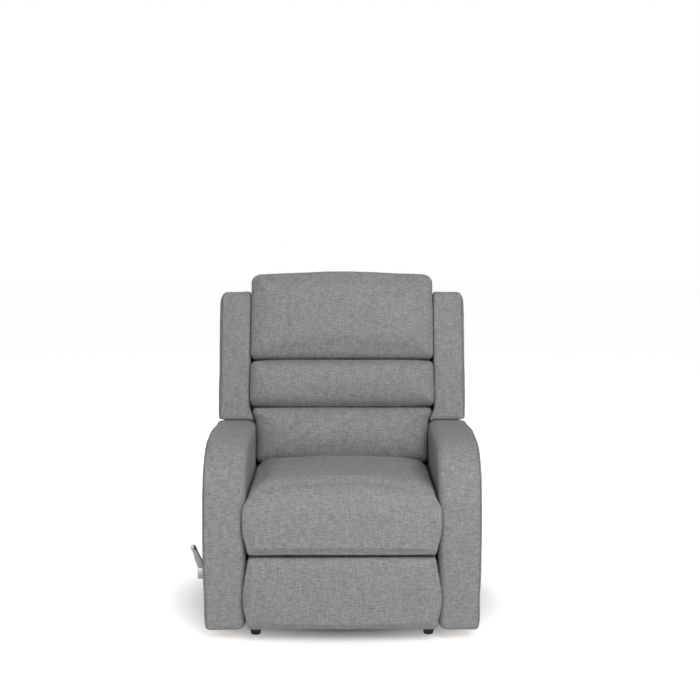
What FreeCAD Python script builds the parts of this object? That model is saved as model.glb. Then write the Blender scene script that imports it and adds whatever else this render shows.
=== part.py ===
import FreeCAD, Part
import math
import os
import Sketcher
from FreeCAD import Rotation, Vector

# A lever-operated recliner armchair, in millimetres.
# X runs to the viewer's right, Y to the back and Z up. The origin is on the floor, midway between the arms.

document = FreeCAD.newDocument("ReclinerArmchair")
sheet = document.addObject("Spreadsheet::Sheet", "Sizes")
parts = []


class Size(float):
    """A length or an angle that remembers the sheet expression it comes from."""

    def __new__(cls, value, text):
        made = float.__new__(cls, value)
        made.text = text
        return made

    def __add__(self, other):
        return Size(float(self) + float(other), "(%s + %s)" % (self.text, text_of(other)))

    def __radd__(self, other):
        return Size(float(other) + float(self), "(%s + %s)" % (text_of(other), self.text))

    def __sub__(self, other):
        return Size(float(self) - float(other), "(%s - %s)" % (self.text, text_of(other)))

    def __rsub__(self, other):
        return Size(float(other) - float(self), "(%s - %s)" % (text_of(other), self.text))

    def __mul__(self, other):
        return Size(float(self) * float(other), "(%s * %s)" % (self.text, text_of(other)))

    def __rmul__(self, other):
        return self * other

    def __truediv__(self, other):
        return Size(float(self) / float(other), "(%s / %s)" % (self.text, text_of(other)))

    def __neg__(self):
        return Size(-float(self), "(0 - %s)" % self.text)


def text_of(value):
    return value.text if isinstance(value, Size) else repr(float(value))


def size(name, value):
    """One driving size: a cell of the sheet, with the name as its alias."""
    row = len(sheet.getUsedCells()) + 1
    cell = "A%d" % row
    sheet.set(cell, repr(float(value)))
    sheet.setAlias(cell, name)
    return Size(float(value), "Sizes." + name)


def cosine(angle):
    return Size(math.cos(math.radians(angle)), "cos(%s)" % text_of(angle))


def sine(angle):
    return Size(math.sin(math.radians(angle)), "sin(%s)" % text_of(angle))


def bind(thing, **values):
    """Ties properties of a document object to the sheet."""
    for name, value in values.items():
        setattr(thing, name, float(value))
        if isinstance(value, Size):
            thing.setExpression(name, value.text)


def place(thing, x, y, z, angle=0.0):
    """Puts an object at a point, turned about the X axis."""
    thing.Placement = FreeCAD.Placement(Vector(x, y, z), Rotation(Vector(1, 0, 0), angle))
    for name, value in (("x", x), ("y", y), ("z", z)):
        if isinstance(value, Size):
            thing.setExpression("Placement.Base." + name, value.text)


def keep(thing, label):
    """Names a finished sub-part, which is then written to a file of that name."""
    thing.Label = label
    parts.append(thing)
    return thing


def along(point, angle, length):
    """The point at a distance from another, in a direction given as an angle from +Y towards +Z."""
    return point[0] + length * cosine(angle), point[1] + length * sine(angle)


SIDES = (("left", -1), ("right", 1))

# Overall form of the upholstery
arm_gap = size("arm_gap", 570)
arm_width = size("arm_width", 128)
arm_front = size("arm_front", 460)
arm_rear = size("arm_rear", 300)
arm_bottom = size("arm_bottom", 34)
arm_top = size("arm_top", 580)
arm_slope_start = size("arm_slope_start", 110)
arm_slope_drop = size("arm_slope_drop", 126)
arm_nose_radius = size("arm_nose_radius", 165)
arm_slope_radius = size("arm_slope_radius", 180)
arm_rear_radius = size("arm_rear_radius", 45)
arm_foot_radius = size("arm_foot_radius", 18)
arm_inner_radius = size("arm_inner_radius", 28)
arm_outer_radius = size("arm_outer_radius", 7)
soft_gap = size("soft_gap", 3)
seam_gap = size("seam_gap", 2)
contact_gap = size("contact_gap", 0.3)
arm_inside = arm_gap / 2
arm_outside = arm_inside + arm_width

# Wood and steel stock
board = size("board", 18)
rail_board = size("rail_board", 22)
tube_side = size("tube_side", 30)
tube_wall = size("tube_wall", 2)
plate = size("plate", 4)
foot_height = size("foot_height", 14)
foot_radius = size("foot_radius", 16.5)
foot_taper = size("foot_taper", 0.86)

# Layers of the mechanism, counted inwards from the side plates
side_plate_outside = size("side_plate_outside", 266)
first_layer_gap = size("first_layer_gap", 3)
link_layer_gap = size("link_layer_gap", 1.5)
rod_layer_gap = size("rod_layer_gap", 3.5)
crank_layer_gap = size("crank_layer_gap", 2.5)
side_plate_inside = side_plate_outside - plate
first_outside = side_plate_inside - first_layer_gap
first_inside = first_outside - plate
second_outside = first_inside - link_layer_gap
second_inside = second_outside - plate
rod_outside = second_inside - rod_layer_gap
rod_inside = rod_outside - plate
crank_outside = rod_inside - crank_layer_gap
crank_inside = crank_outside - plate

# Pivots of the footrest linkage, in the side view
rear_pivot = (-size("rear_pivot_forward", 228.3), size("rear_pivot_height", 263))
link_length = size("link_length", 182.4)
link_angle = -size("link_angle_down", 67.9)
thrust_length = size("thrust_length", 240.4)
thrust_angle = size("thrust_angle", 147.9)
link_spread = size("link_spread", 59.3)
link_tail = size("link_tail", 40.7)
drive_arm = size("drive_arm", 62)
link_half = size("link_half", 11)
pin_radius = size("pin_radius", 4)
pin_head = size("pin_head", 7)
head_height = size("head_height", 2)
running_gap = size("running_gap", 0.1)
open_gap = size("open_gap", 0.4)
head_gap = size("head_gap", 0.2)
rear_joint = along(rear_pivot, link_angle, link_length)
front_pivot = along(rear_pivot, thrust_angle, link_spread)
front_joint = along(rear_joint, thrust_angle, link_spread)
tail_joint = along(front_joint, link_angle, link_tail)
upper_end = along(rear_joint, thrust_angle, thrust_length)
lower_end = along(upper_end, link_angle, link_tail)
drive_joint = along(rear_pivot, link_angle, drive_arm)

# Shaft of the hand lever
shaft_centre = (-size("shaft_forward", 105), size("shaft_height", 125))
shaft_radius = size("shaft_radius", 9)
bush_radius = size("bush_radius", 13)
bush_gap = size("bush_gap", 0.05)
crank_pin = along(shaft_centre, link_angle, drive_arm)

# Back, which turns on two pivots and leans from the upright
back_pivot = (size("back_pivot_rear", 60), size("back_pivot_height", 395))
lean = size("lean", 15)
post_front = size("post_front", 22)
post_depth = size("post_depth", 40)
post_width = size("post_width", 26)
post_low = size("post_low", 20)
post_top = size("post_top", 596)
rear_panel_front = size("rear_panel_front", 118)
webbing = size("webbing", 1.5)


def make_box(name, x, y, z):
    """A box between two values along each axis."""
    box = document.addObject("Part::Box", name)
    bind(box, Length=x[1] - x[0], Width=y[1] - y[0], Height=z[1] - z[0])
    place(box, x[0], y[0], z[0])
    return box


def make_bar(name, x0, x1, point, radius):
    """A round bar along X between two values, at a point of the side view."""
    bar = document.addObject("Part::Cylinder", name)
    bind(bar, Radius=radius, Height=x1 - x0)
    bar.Placement = FreeCAD.Placement(Vector(x0, point[0], point[1]), Rotation(Vector(0, 1, 0), 90))
    for axis, value in (("x", x0), ("y", point[0]), ("z", point[1])):
        if isinstance(value, Size):
            bar.setExpression("Placement.Base." + axis, value.text)
    return bar


def cut(name, base, tools):
    """Takes tools away from a base."""
    made = document.addObject("Part::Cut", name)
    made.Base = base
    made.Tool = tools[0] if len(tools) == 1 else fuse(name + "Tools", tools)
    return made


def fuse(name, shapes):
    made = document.addObject("Part::MultiFuse", name)
    made.Shapes = shapes
    return made


def group(name, shapes):
    """Separate solids of one kind that share a node."""
    made = document.addObject("Part::Compound", name)
    made.Links = shapes
    return made


def origin_plane(body, role):
    return [feature for feature in body.Origin.OriginFeatures if feature.Role == role][0]


def open_sketch(body, name):
    """A sketch in a body's side view: its own X is the body's Y, and its Y the body's Z."""
    sketch = body.newObject("Sketcher::SketchObject", name)
    sketch.AttachmentSupport = [(origin_plane(body, "YZ_Plane"), "")]
    sketch.MapMode = "FlatFace"
    return sketch


def hold(sketch, kind, items, value):
    """A dimension of a sketch, tied to the sheet."""
    index = sketch.addConstraint(Sketcher.Constraint(kind, *items, float(value)))
    if isinstance(value, Size):
        sketch.setExpression("Constraints[%d]" % index, value.text)


def hold_point(sketch, item, end, across, up):
    hold(sketch, "DistanceX", (-1, 1, item, end), across)
    hold(sketch, "DistanceY", (-1, 1, item, end), up)


def draw_hole(sketch, across, up, radius):
    item = sketch.addGeometry(Part.Circle(Vector(across, up, 0), Vector(0, 0, 1), radius), False)
    hold_point(sketch, item, 3, across, up)
    hold(sketch, "Radius", (item,), radius)


def pad_sketch(body, sketch, thickness):
    pad = body.newObject("PartDesign::Pad", sketch.Name + "Pad")
    pad.Profile = sketch
    bind(pad, Length=thickness)
    sketch.Visibility = False
    return pad


def make_plate(name, corners, holes, x):
    """A flat plate in the side view, with straight sides and round holes of (across, up, radius)."""
    body = document.addObject("PartDesign::Body", name)
    sketch = open_sketch(body, name + "Outline")
    count = len(corners)
    for i in range(count):
        here = Vector(*corners[i], 0)
        following = Vector(*corners[(i + 1) % count], 0)
        sketch.addGeometry(Part.LineSegment(here, following), False)
    for i in range(count):
        sketch.addConstraint(Sketcher.Constraint("Coincident", i, 2, (i + 1) % count, 1))
    for i in range(count):
        hold_point(sketch, i, 1, *corners[i])
    for hole in holes:
        draw_hole(sketch, *hole)
    pad_sketch(body, sketch, plate)
    place(body, x, 0.0, 0.0)
    return body


def make_link(name, length, holes, x, point, angle, half=link_half):
    """A steel link with round ends, from its pivot to a distance, with holes of (distance, radius)."""
    body = document.addObject("PartDesign::Body", name)
    sketch = open_sketch(body, name + "Outline")
    centre = Vector(0, 0, 0)
    far = Vector(length, 0, 0)
    up = Vector(0, 0, 1)
    near_circle = Part.Circle(centre, up, half)
    far_circle = Part.Circle(far, up, half)
    near_end = sketch.addGeometry(Part.ArcOfCircle(near_circle, math.pi / 2, 3 * math.pi / 2), False)
    far_end = sketch.addGeometry(Part.ArcOfCircle(far_circle, -math.pi / 2, math.pi / 2), False)
    top = sketch.addGeometry(Part.LineSegment(Vector(length, half, 0), Vector(0, half, 0)), False)
    bottom = sketch.addGeometry(Part.LineSegment(Vector(0, -half, 0), Vector(length, -half, 0)), False)
    sketch.addConstraint(Sketcher.Constraint("Coincident", near_end, 3, -1, 1))
    sketch.addConstraint(Sketcher.Constraint("PointOnObject", far_end, 3, -1))
    sketch.addConstraint(Sketcher.Constraint("Tangent", far_end, 2, top, 1))
    sketch.addConstraint(Sketcher.Constraint("Tangent", top, 2, near_end, 1))
    sketch.addConstraint(Sketcher.Constraint("Tangent", near_end, 2, bottom, 1))
    sketch.addConstraint(Sketcher.Constraint("Tangent", bottom, 2, far_end, 1))
    hold(sketch, "DistanceX", (-1, 1, far_end, 3), length)
    hold(sketch, "Radius", (near_end,), half)
    for distance, radius in holes:
        item = sketch.addGeometry(Part.Circle(Vector(distance, 0, 0), up, radius), False)
        if float(distance) == 0.0:
            sketch.addConstraint(Sketcher.Constraint("Coincident", item, 3, -1, 1))
        else:
            sketch.addConstraint(Sketcher.Constraint("PointOnObject", item, 3, -1))
            hold(sketch, "DistanceX", (-1, 1, item, 3), distance)
        hold(sketch, "Radius", (item,), radius)
    pad_sketch(body, sketch, plate)
    place(body, x, point[0], point[1], angle)
    return body


def layer_x(side, inside, outside):
    """The lower X of a layer on either side of the chair."""
    return inside if side > 0 else -outside


def make_pin(name, side, point, head_in, head_out, collars=()):
    """A riveted pin across the layers: a shank, a head at each end and wider collars between."""
    pieces = [make_bar(name + "Shank", *span(side, head_in, head_out), point, pin_radius)]
    pieces.append(make_bar(name + "In", *span(side, head_in - head_height, head_in), point, pin_head))
    pieces.append(make_bar(name + "Out", *span(side, head_out, head_out + head_height), point, pin_head))
    for i, (low, high) in enumerate(collars):
        pieces.append(make_bar("%sCollar%d" % (name, i), *span(side, low, high), point, pin_head))
    return fuse(name, pieces)


def span(side, inside, outside):
    """The X range between two distances from the chair's middle, on one side."""
    return (inside, outside) if side > 0 else (-outside, -inside)


least_radius = size("least_radius", 3)
CORNER_SHARE = 0.48
CROWN_STEPS = (0.0, 0.35, 0.6, 0.8, 0.92, 0.985)


def rounded_wire(corners, radii, inset, lift):
    """A closed outline of lines and tangent arcs, drawn in by an inset and lifted into space."""
    count = len(corners)
    moved = []
    turns = []
    for i in range(count):
        before = Vector(*corners[i - 1], 0)
        here = Vector(*corners[i], 0)
        after = Vector(*corners[(i + 1) % count], 0)
        arriving = (here - before).normalize()
        leaving = (after - here).normalize()
        turn = math.atan2(arriving.x * leaving.y - arriving.y * leaving.x, arriving.dot(leaving))
        inward = Vector(-arriving.y, arriving.x, 0) + Vector(-leaving.y, leaving.x, 0)
        inward.normalize()
        moved.append(here + inward * (inset / math.cos(turn / 2)))
        turns.append(turn)
    edges = []
    starts = []
    for i in range(count):
        back = moved[i - 1] - moved[i]
        ahead = moved[(i + 1) % count] - moved[i]
        radius = radii[i] - inset if turns[i] > 0 else radii[i] + inset
        half_turn = math.tan(abs(turns[i]) / 2)
        room = CORNER_SHARE * min(back.Length, ahead.Length) / half_turn
        radius = min(max(radius, least_radius), room)
        reach = radius * half_turn
        back.normalize()
        ahead.normalize()
        start = moved[i] + back * reach
        end = moved[i] + ahead * reach
        bow = radius / math.cos(turns[i] / 2) - radius
        middle = moved[i] + (back + ahead).normalize() * bow
        starts.append((start, middle, end))
    for i in range(count):
        start, middle, end = starts[i]
        following = starts[(i + 1) % count][0]
        edges.append(Part.Arc(lift(start), lift(middle), lift(end)).toShape())
        edges.append(Part.LineSegment(lift(end), lift(following)).toShape())
    return Part.Wire(edges)


def edge_roll(depth, reach):
    """Steps round a padded edge: how far out from where the roll starts, and how far drawn in there."""
    return [(depth * step, reach * (1 - math.sqrt(1 - step * step))) for step in CROWN_STEPS]


def soft_form(label, wires, tools=(), more=()):
    """A padded piece lofted through its outlines, with what is joined to it and less what is cut from it."""
    shape = Part.makeLoft(wires, True, True)
    for piece in more:
        shape = shape.fuse(piece)
    for tool in tools:
        shape = shape.cut(tool)
    form = document.addObject("Part::Feature", label)
    form.Shape = shape
    return keep(form, label)


# Base: two rails on four feet, joined by two cross tubes
base_front = size("base_front", 390)
base_rear = size("base_rear", 250)
rail_centre = size("rail_centre", 261)
front_tube_forward = size("front_tube_forward", 345)
rear_tube_rear = size("rear_tube_rear", 190)
front_foot_forward = size("front_foot_forward", 372)
rear_foot_rear = size("rear_foot_rear", 225)
rail_bottom = foot_height
rail_top = foot_height + tube_side
rail_in = rail_centre - tube_side / 2
rail_out = rail_centre + tube_side / 2


def make_tube(label, x, y, z, hollow):
    """A square steel tube that is hollow along one axis."""
    outer = make_box(label + "Outer", x, y, z)
    inner_x = x if hollow == "x" else (x[0] + tube_wall, x[1] - tube_wall)
    inner_y = y if hollow == "y" else (y[0] + tube_wall, y[1] - tube_wall)
    inner = make_box(label + "Inner", inner_x, inner_y, (z[0] + tube_wall, z[1] - tube_wall))
    return cut(label, outer, [inner])


base_z = (rail_bottom, rail_top)
for name, side in SIDES:
    tube_x = span(side, rail_in, rail_out)
    keep(make_tube("base_rail_" + name, tube_x, (-base_front, base_rear), base_z, "y"), "base_rail_" + name)
cross_tubes = [
    make_tube("cross_tube_" + name, (-rail_in, rail_in), (start, start + tube_side), base_z, "x")
    for name, start in (("front", -front_tube_forward), ("rear", rear_tube_rear))
]
keep(group("cross_tubes", cross_tubes), "cross_tubes")

feet = []
for name, side in SIDES:
    for end, y in (("front", -front_foot_forward), ("rear", rear_foot_rear)):
        foot = document.addObject("Part::Cone", "foot_" + end + name)
        bind(foot, Radius1=foot_radius * foot_taper, Radius2=foot_radius, Height=foot_height)
        place(foot, side * rail_centre, y, 0.0)
        feet.append(foot)
keep(group("feet", feet), "feet")

# Side plates of the footrest linkage, welded on the rails
side_plate_front = size("side_plate_front", 325)
side_plate_rear = size("side_plate_rear", 66)
side_plate_top = size("side_plate_top", 320)
side_plate_corner = size("side_plate_corner", 40)
bolt_radius = size("bolt_radius", 4)
bolt_head = size("bolt_head", 7)
bolt_head_height = size("bolt_head_height", 2.5)
bolt_edge = size("bolt_edge", 22)
plate_low = rail_top
side_plate_corners = [
    (-side_plate_front, plate_low),
    (-side_plate_rear, plate_low),
    (-side_plate_rear, rear_pivot[1] - side_plate_corner),
    (rear_pivot[0] + side_plate_corner, side_plate_top),
    (-side_plate_front + side_plate_corner, side_plate_top),
    (-side_plate_front, side_plate_top - side_plate_corner),
]
cleat_height = size("cleat_height", 46)
lower_cleat_low = size("lower_cleat_low", 52)
upper_cleat_low = size("upper_cleat_low", 172)
side_bolts = [
    (-side_plate_rear - bolt_edge, lower_cleat_low + cleat_height / 2),
    (-side_plate_rear - bolt_edge, upper_cleat_low + cleat_height / 2),
]
for name, side in SIDES:
    holes = [(pivot[0], pivot[1], pin_radius) for pivot in (rear_pivot, front_pivot)]
    holes.append((shaft_centre[0], shaft_centre[1], bush_radius))
    holes.extend((bolt[0], bolt[1], bolt_radius) for bolt in side_bolts)
    plate_x = layer_x(side, side_plate_inside, side_plate_outside)
    keep(make_plate("side_plate_" + name, side_plate_corners, holes, plate_x), "side_plate_" + name)

# Hinge plates that carry the back
hinge_plate_front = size("hinge_plate_front", 14)
hinge_plate_rear = size("hinge_plate_rear", 106)
hinge_plate_crest = size("hinge_plate_crest", 18)
hinge_cleat_low = size("hinge_cleat_low", 190)
hinge_plate_corners = [
    (hinge_plate_front, plate_low),
    (hinge_plate_rear, plate_low),
    (back_pivot[0] + 2 * hinge_plate_crest, back_pivot[1] - hinge_plate_crest),
    (back_pivot[0] + hinge_plate_crest / 2, back_pivot[1] + hinge_plate_crest),
    (back_pivot[0] - hinge_plate_crest / 2, back_pivot[1] + hinge_plate_crest),
    (back_pivot[0] - 2 * hinge_plate_crest, back_pivot[1] - hinge_plate_crest),
]
hinge_bolts = [
    (back_pivot[0], lower_cleat_low + cleat_height / 2),
    (back_pivot[0], hinge_cleat_low + cleat_height / 2),
]
for name, side in SIDES:
    holes = [(back_pivot[0], back_pivot[1], pin_radius)]
    holes.extend((bolt[0], bolt[1], bolt_radius) for bolt in hinge_bolts)
    plate_x = layer_x(side, side_plate_inside, side_plate_outside)
    body = make_plate("back_hinge_plate_" + name, hinge_plate_corners, holes, plate_x)
    keep(body, "back_hinge_plate_" + name)

# Wooden cleats between the plates and the arms, with the bolts that hold them
bolt_length = size("bolt_length", 18)
side_cleat = (-side_plate_front, -side_plate_rear)
hinge_cleat = (hinge_plate_front, hinge_plate_rear)
bolts = []
blocks = []
for name, side in SIDES:
    layout = (
        (side_cleat, lower_cleat_low, side_bolts[0]),
        (side_cleat, upper_cleat_low, side_bolts[1]),
        (hinge_cleat, lower_cleat_low, hinge_bolts[0]),
        (hinge_cleat, hinge_cleat_low, hinge_bolts[1]),
    )
    for i, (reach, low, bolt) in enumerate(layout):
        key = "%s%d" % (name, i)
        block_x = span(side, side_plate_outside, arm_inside)
        shank_x = span(side, side_plate_inside, side_plate_inside + bolt_length)
        head_x = span(side, side_plate_inside - bolt_head_height, side_plate_inside)
        block = make_box("cleat_block_" + key, block_x, reach, (low, low + cleat_height))
        hole = make_bar("cleat_hole_" + key, *shank_x, bolt, bolt_radius)
        blocks.append(cut("cleat_" + key, block, [hole]))
        shank = make_bar("bolt_shank_" + key, *shank_x, bolt, bolt_radius)
        head = make_bar("bolt_head_" + key, *head_x, bolt, bolt_head)
        bolts.append(fuse("bolt_" + key, [shank, head]))
keep(group("arm_cleats", blocks), "arm_cleats")
keep(group("plate_bolts", bolts), "plate_bolts")

# Fixed pins of the linkage and of the back
pins = []
for name, side in SIDES:
    for key, pivot in (("rear", rear_pivot), ("front", front_pivot), ("back", back_pivot)):
        collar = (first_outside + head_gap, side_plate_inside)
        head_in = first_inside - head_gap
        pins.append(make_pin("pivot_pin_" + key + name, side, pivot, head_in, side_plate_outside, [collar]))
keep(group("pivot_pins", pins), "pivot_pins")

# Bushes of the lever's shaft, in both side plates and in the outer panel of the left arm
bush_flange = size("bush_flange", 1.5)
arm_frame_inset = size("arm_frame_inset", 15)
arm_frame_in = arm_inside + arm_frame_inset
arm_frame_out = arm_outside - arm_frame_inset


def make_bush(name, x):
    bore = make_bar(name + "Bore", x[0], x[1], shaft_centre, shaft_radius + bush_gap)
    return cut(name, make_bar(name + "Outer", x[0], x[1], shaft_centre, bush_radius), [bore])


bushes = []
for name, side in SIDES:
    bush_x = span(side, side_plate_inside - bush_flange, side_plate_outside + bush_flange)
    bushes.append(make_bush("bush_plate_" + name, bush_x))
bushes.append(make_bush("bush_arm", (-arm_frame_out, -arm_frame_out + board)))
keep(group("shaft_bushes", bushes), "shaft_bushes")

# Seat box of four rails with elastic straps over it
seat_rail_bottom = size("seat_rail_bottom", 266)
seat_rail_top = size("seat_rail_top", 330)
seat_rail_front = size("seat_rail_front", 401)
seat_rail_rear = size("seat_rail_rear", 0)
seat_side_rail_out = size("seat_side_rail_out", 238)
seat_strap_count = 6
seat_strap_width = size("seat_strap_width", 50)
seat_strap_pitch = size("seat_strap_pitch", 86)
rail_reach = arm_inside - contact_gap
rail_heights = (seat_rail_bottom, seat_rail_top)
rail_x = (-rail_reach, rail_reach)
front_rail_y = (-seat_rail_front, -seat_rail_front + rail_board)
rear_rail_y = (seat_rail_rear - rail_board, seat_rail_rear)
keep(make_box("seat_front_rail", rail_x, front_rail_y, rail_heights), "seat_front_rail")
keep(make_box("seat_rear_rail", rail_x, rear_rail_y, rail_heights), "seat_rear_rail")
side_rail_y = (front_rail_y[1], rear_rail_y[0])
side_rails = []
for name, side in SIDES:
    side_rail_x = span(side, seat_side_rail_out - rail_board, seat_side_rail_out)
    side_rails.append(make_box("side_rail_" + name, side_rail_x, side_rail_y, rail_heights))
keep(group("seat_side_rails", side_rails), "seat_side_rails")
straps = []
for i in range(seat_strap_count):
    middle = seat_strap_pitch * (i - (seat_strap_count - 1) / 2)
    edges = (middle - seat_strap_width / 2, middle + seat_strap_width / 2)
    depth = (-seat_rail_front, seat_rail_rear)
    straps.append(make_box("seat_strap_%d" % i, edges, depth, (seat_rail_top, seat_rail_top + webbing)))
keep(group("seat_webbing", straps), "seat_webbing")

# Upholstered skirt between the arms at the rear, below the back
skirt_rear = size("skirt_rear", 286)
skirt_thickness = size("skirt_thickness", 14)
skirt_low = size("skirt_low", 60)
skirt_high = size("skirt_high", 330)
skirt_y = (skirt_rear - skirt_thickness, skirt_rear)
keep(make_box("rear_skirt", rail_x, skirt_y, (skirt_low, skirt_high)), "rear_skirt")

# Wooden box inside each arm
arm_frame_front = size("arm_frame_front", 425)
arm_frame_rear = size("arm_frame_rear", 262)
arm_frame_top = size("arm_frame_top", 425)
frame_y = (-arm_frame_front, arm_frame_rear)
frame_z = (arm_bottom, arm_frame_top)
shaft_hole = shaft_radius + soft_gap


def make_arm_frame(label, side):
    inner = span(side, arm_frame_in, arm_frame_in + board)
    outer = span(side, arm_frame_out - board, arm_frame_out)
    between = span(side, arm_frame_in + board, arm_frame_out - board)
    inner_panel = make_box(label + "InnerPanel", inner, frame_y, frame_z)
    outer_panel = make_box(label + "OuterPanel", outer, frame_y, frame_z)
    if side < 0:
        clear = make_bar(label + "Clear", inner[0], inner[1], shaft_centre, shaft_hole)
        seat = make_bar(label + "BushSeat", outer[0], outer[1], shaft_centre, bush_radius)
        inner_panel = cut(label + "Inner", inner_panel, [clear])
        outer_panel = cut(label + "Outer", outer_panel, [seat])
    boards = [inner_panel, outer_panel]
    boards.append(make_box(label + "Front", between, (frame_y[0], frame_y[0] + board), frame_z))
    boards.append(make_box(label + "Rear", between, (frame_y[1] - board, frame_y[1]), frame_z))
    inside_y = (frame_y[0] + board, frame_y[1] - board)
    boards.append(make_box(label + "Bottom", between, inside_y, (frame_z[0], frame_z[0] + board)))
    boards.append(make_box(label + "Top", between, inside_y, (frame_z[1] - board, frame_z[1])))
    keep(group(label, boards), label)


for name, side in SIDES:
    make_arm_frame("arm_frame_" + name, side)

# Padded arms: a level top that slopes down behind the seat, with rolled edges all round
arm_corners = [
    (-arm_front, arm_bottom),
    (arm_rear, arm_bottom),
    (arm_rear, arm_top - arm_slope_drop),
    (arm_slope_start, arm_top),
    (-arm_front, arm_top),
]
arm_radii = [arm_foot_radius, arm_foot_radius, arm_rear_radius, arm_slope_radius, arm_nose_radius]


def arm_wires(side):
    stations = []
    for depth, inset in reversed(edge_roll(arm_inner_radius, arm_inner_radius)):
        stations.append((arm_inside + arm_inner_radius - depth, inset))
    for depth, inset in edge_roll(arm_outer_radius, arm_outer_radius):
        stations.append((arm_outside - arm_outer_radius + depth, inset))
    return [
        rounded_wire(arm_corners, arm_radii, inset, lambda p, x=side * x: Vector(x, p.x, p.y))
        for x, inset in stations
    ]


for name, side in SIDES:
    low_x = span(side, arm_frame_in, arm_frame_out)[0]
    tools = [
        Part.makeBox(
            arm_frame_out - arm_frame_in,
            arm_frame_front + arm_frame_rear,
            arm_frame_top - arm_bottom,
            Vector(low_x, -arm_frame_front, arm_bottom),
        )
    ]
    if side < 0:
        start = Vector(-arm_outside - soft_gap, shaft_centre[0], shaft_centre[1])
        tools.append(Part.makeCylinder(shaft_hole, arm_width + 2 * soft_gap, start, Vector(1, 0, 0)))
    soft_form("arm_cover_" + name, arm_wires(side), tools)

# Seat cushion: crowned from side to side, with a rolled front that hangs before the front rail
seat_front = size("seat_front", 482)
seat_rear = size("seat_rear", 4)
seat_bottom = size("seat_bottom", 262)
seat_top = size("seat_top", 478)
seat_crown = size("seat_crown", 20)
seat_roll = size("seat_roll", 80)
seat_lip = size("seat_lip", 14)
seat_rear_roll = size("seat_rear_roll", 38)
seat_side_radius = size("seat_side_radius", 34)
seat_low_radius = size("seat_low_radius", 8)
swell_radius = size("swell_radius", 160)
swell_rise = size("swell_rise", 70)
pad_narrowing = size("pad_narrowing", 2.5)
seat_flare = size("seat_flare", 16)
crown_radius = size("crown_radius", 1500)
seat_half = arm_inside - soft_gap
flare_start = arm_front - arm_inner_radius


def flare(y):
    """How far a front pad swells past the gap between the arms, before their rolled inner edges."""
    out = -y - flare_start
    if out <= 0:
        return 0.0
    return min(seat_flare, arm_inner_radius - math.sqrt(max(arm_inner_radius**2 - out**2, 0.0)))


def seat_wire(y, inset):
    """Outline across the seat at one depth, with the top rolled down and the bottom rolled up."""
    from_front = y + seat_front
    down = 0.0
    if from_front < seat_roll:
        down = seat_roll - math.sqrt(seat_roll**2 - (seat_roll - from_front) ** 2)
    up = 0.0
    if from_front < seat_lip:
        up = seat_lip - math.sqrt(seat_lip**2 - (seat_lip - from_front) ** 2)
    from_rear = seat_rear - y
    if from_rear < seat_rear_roll:
        down = seat_rear_roll - math.sqrt(seat_rear_roll**2 - (seat_rear_roll - from_rear) ** 2)
    half = seat_half + flare(y)
    low_half = seat_half - pad_narrowing
    low = seat_bottom + up
    high = seat_top - down
    corners = [
        (-low_half, low),
        (low_half, low),
        (half, low + swell_rise),
        (half, high - seat_crown),
        (0, high),
        (-half, high - seat_crown),
        (-half, low + swell_rise),
    ]
    radii = [seat_low_radius, seat_low_radius, swell_radius, seat_side_radius]
    radii += [crown_radius, seat_side_radius, swell_radius]
    return rounded_wire(corners, radii, inset, lambda p: Vector(p.x, y, p.y))


# Steps from an edge of the seat, as shares of a size, each with how far its outline is drawn in
SEAT_REAR_STEPS = ((0.1, 0.6), (1, 0.2), (4.75, 0))
SEAT_LEVEL_SHARES = (0.4, 0.75)
SEAT_FLARE_STEPS = (-1, -0.43, 0.21)
SEAT_FRONT_STEPS = ((1, 0.3), (0.19, 1.5))
seat_edge = size("seat_edge", 8)
seat_stations = [(seat_rear - seat_edge * step, seat_edge * inset) for step, inset in SEAT_REAR_STEPS]
seat_stations += [(-arm_front * share, 0) for share in SEAT_LEVEL_SHARES]
seat_stations += [(-seat_front + seat_roll, 0)]
seat_stations += [(-arm_front - arm_inner_radius * step, 0) for step in SEAT_FLARE_STEPS]
seat_stations += [(-seat_front + seat_edge * step, seat_edge * inset) for step, inset in SEAT_FRONT_STEPS]
seat_wires = [seat_wire(y, inset) for y, inset in seat_stations]
seat_under = seat_rail_top + webbing + contact_gap
notch_front = -seat_rail_front - contact_gap
notch_low = seat_bottom - soft_gap
notch_corner = Vector(-arm_inside, notch_front, notch_low)
notch_depth = seat_rear - notch_front + soft_gap
seat_notch = Part.makeBox(arm_gap, notch_depth, seat_under - notch_low, notch_corner)
soft_form("seat_cushion", seat_wires, [seat_notch])

# Shaft of the hand lever, with its two cranks inside and the handle outside the left arm
hub_radius = size("hub_radius", 30)
hub_thickness = size("hub_thickness", 46.5)
hub_gap = size("hub_gap", 1.5)
hub_in = arm_outside + hub_gap
hub_out = hub_in + hub_thickness
shaft_end = side_plate_outside + 2 * bush_flange
shaft = make_bar("lever_shaft", -hub_out - head_height, shaft_end, shaft_centre, shaft_radius)
keep(shaft, "lever_shaft")
hub_bore = make_bar("HubBore", -hub_out, -hub_in, shaft_centre, shaft_radius)
hub = cut("lever_hub", make_bar("HubDisc", -hub_out, -hub_in, shaft_centre, hub_radius), [hub_bore])
keep(hub, "lever_hub")

crank_holes = [(0.0, shaft_radius), (drive_arm, pin_radius)]
crank_half = size("crank_half", 14)
cranks = []
crank_pins = []
for name, side in SIDES:
    crank_x = layer_x(side, crank_inside, crank_outside)
    crank_name = "drive_crank_" + name
    crank = make_link(crank_name, drive_arm, crank_holes, crank_x, shaft_centre, link_angle, crank_half)
    cranks.append(crank)
    collar = (crank_outside, rod_inside - head_gap)
    head_out = rod_outside + head_gap
    pin = make_pin("crank_pin_" + name, side, crank_pin, crank_inside, head_out, [collar])
    crank_pins.append(pin)
keep(group("drive_cranks", cranks), "drive_cranks")
keep(group("crank_pins", crank_pins), "crank_pins")

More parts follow.
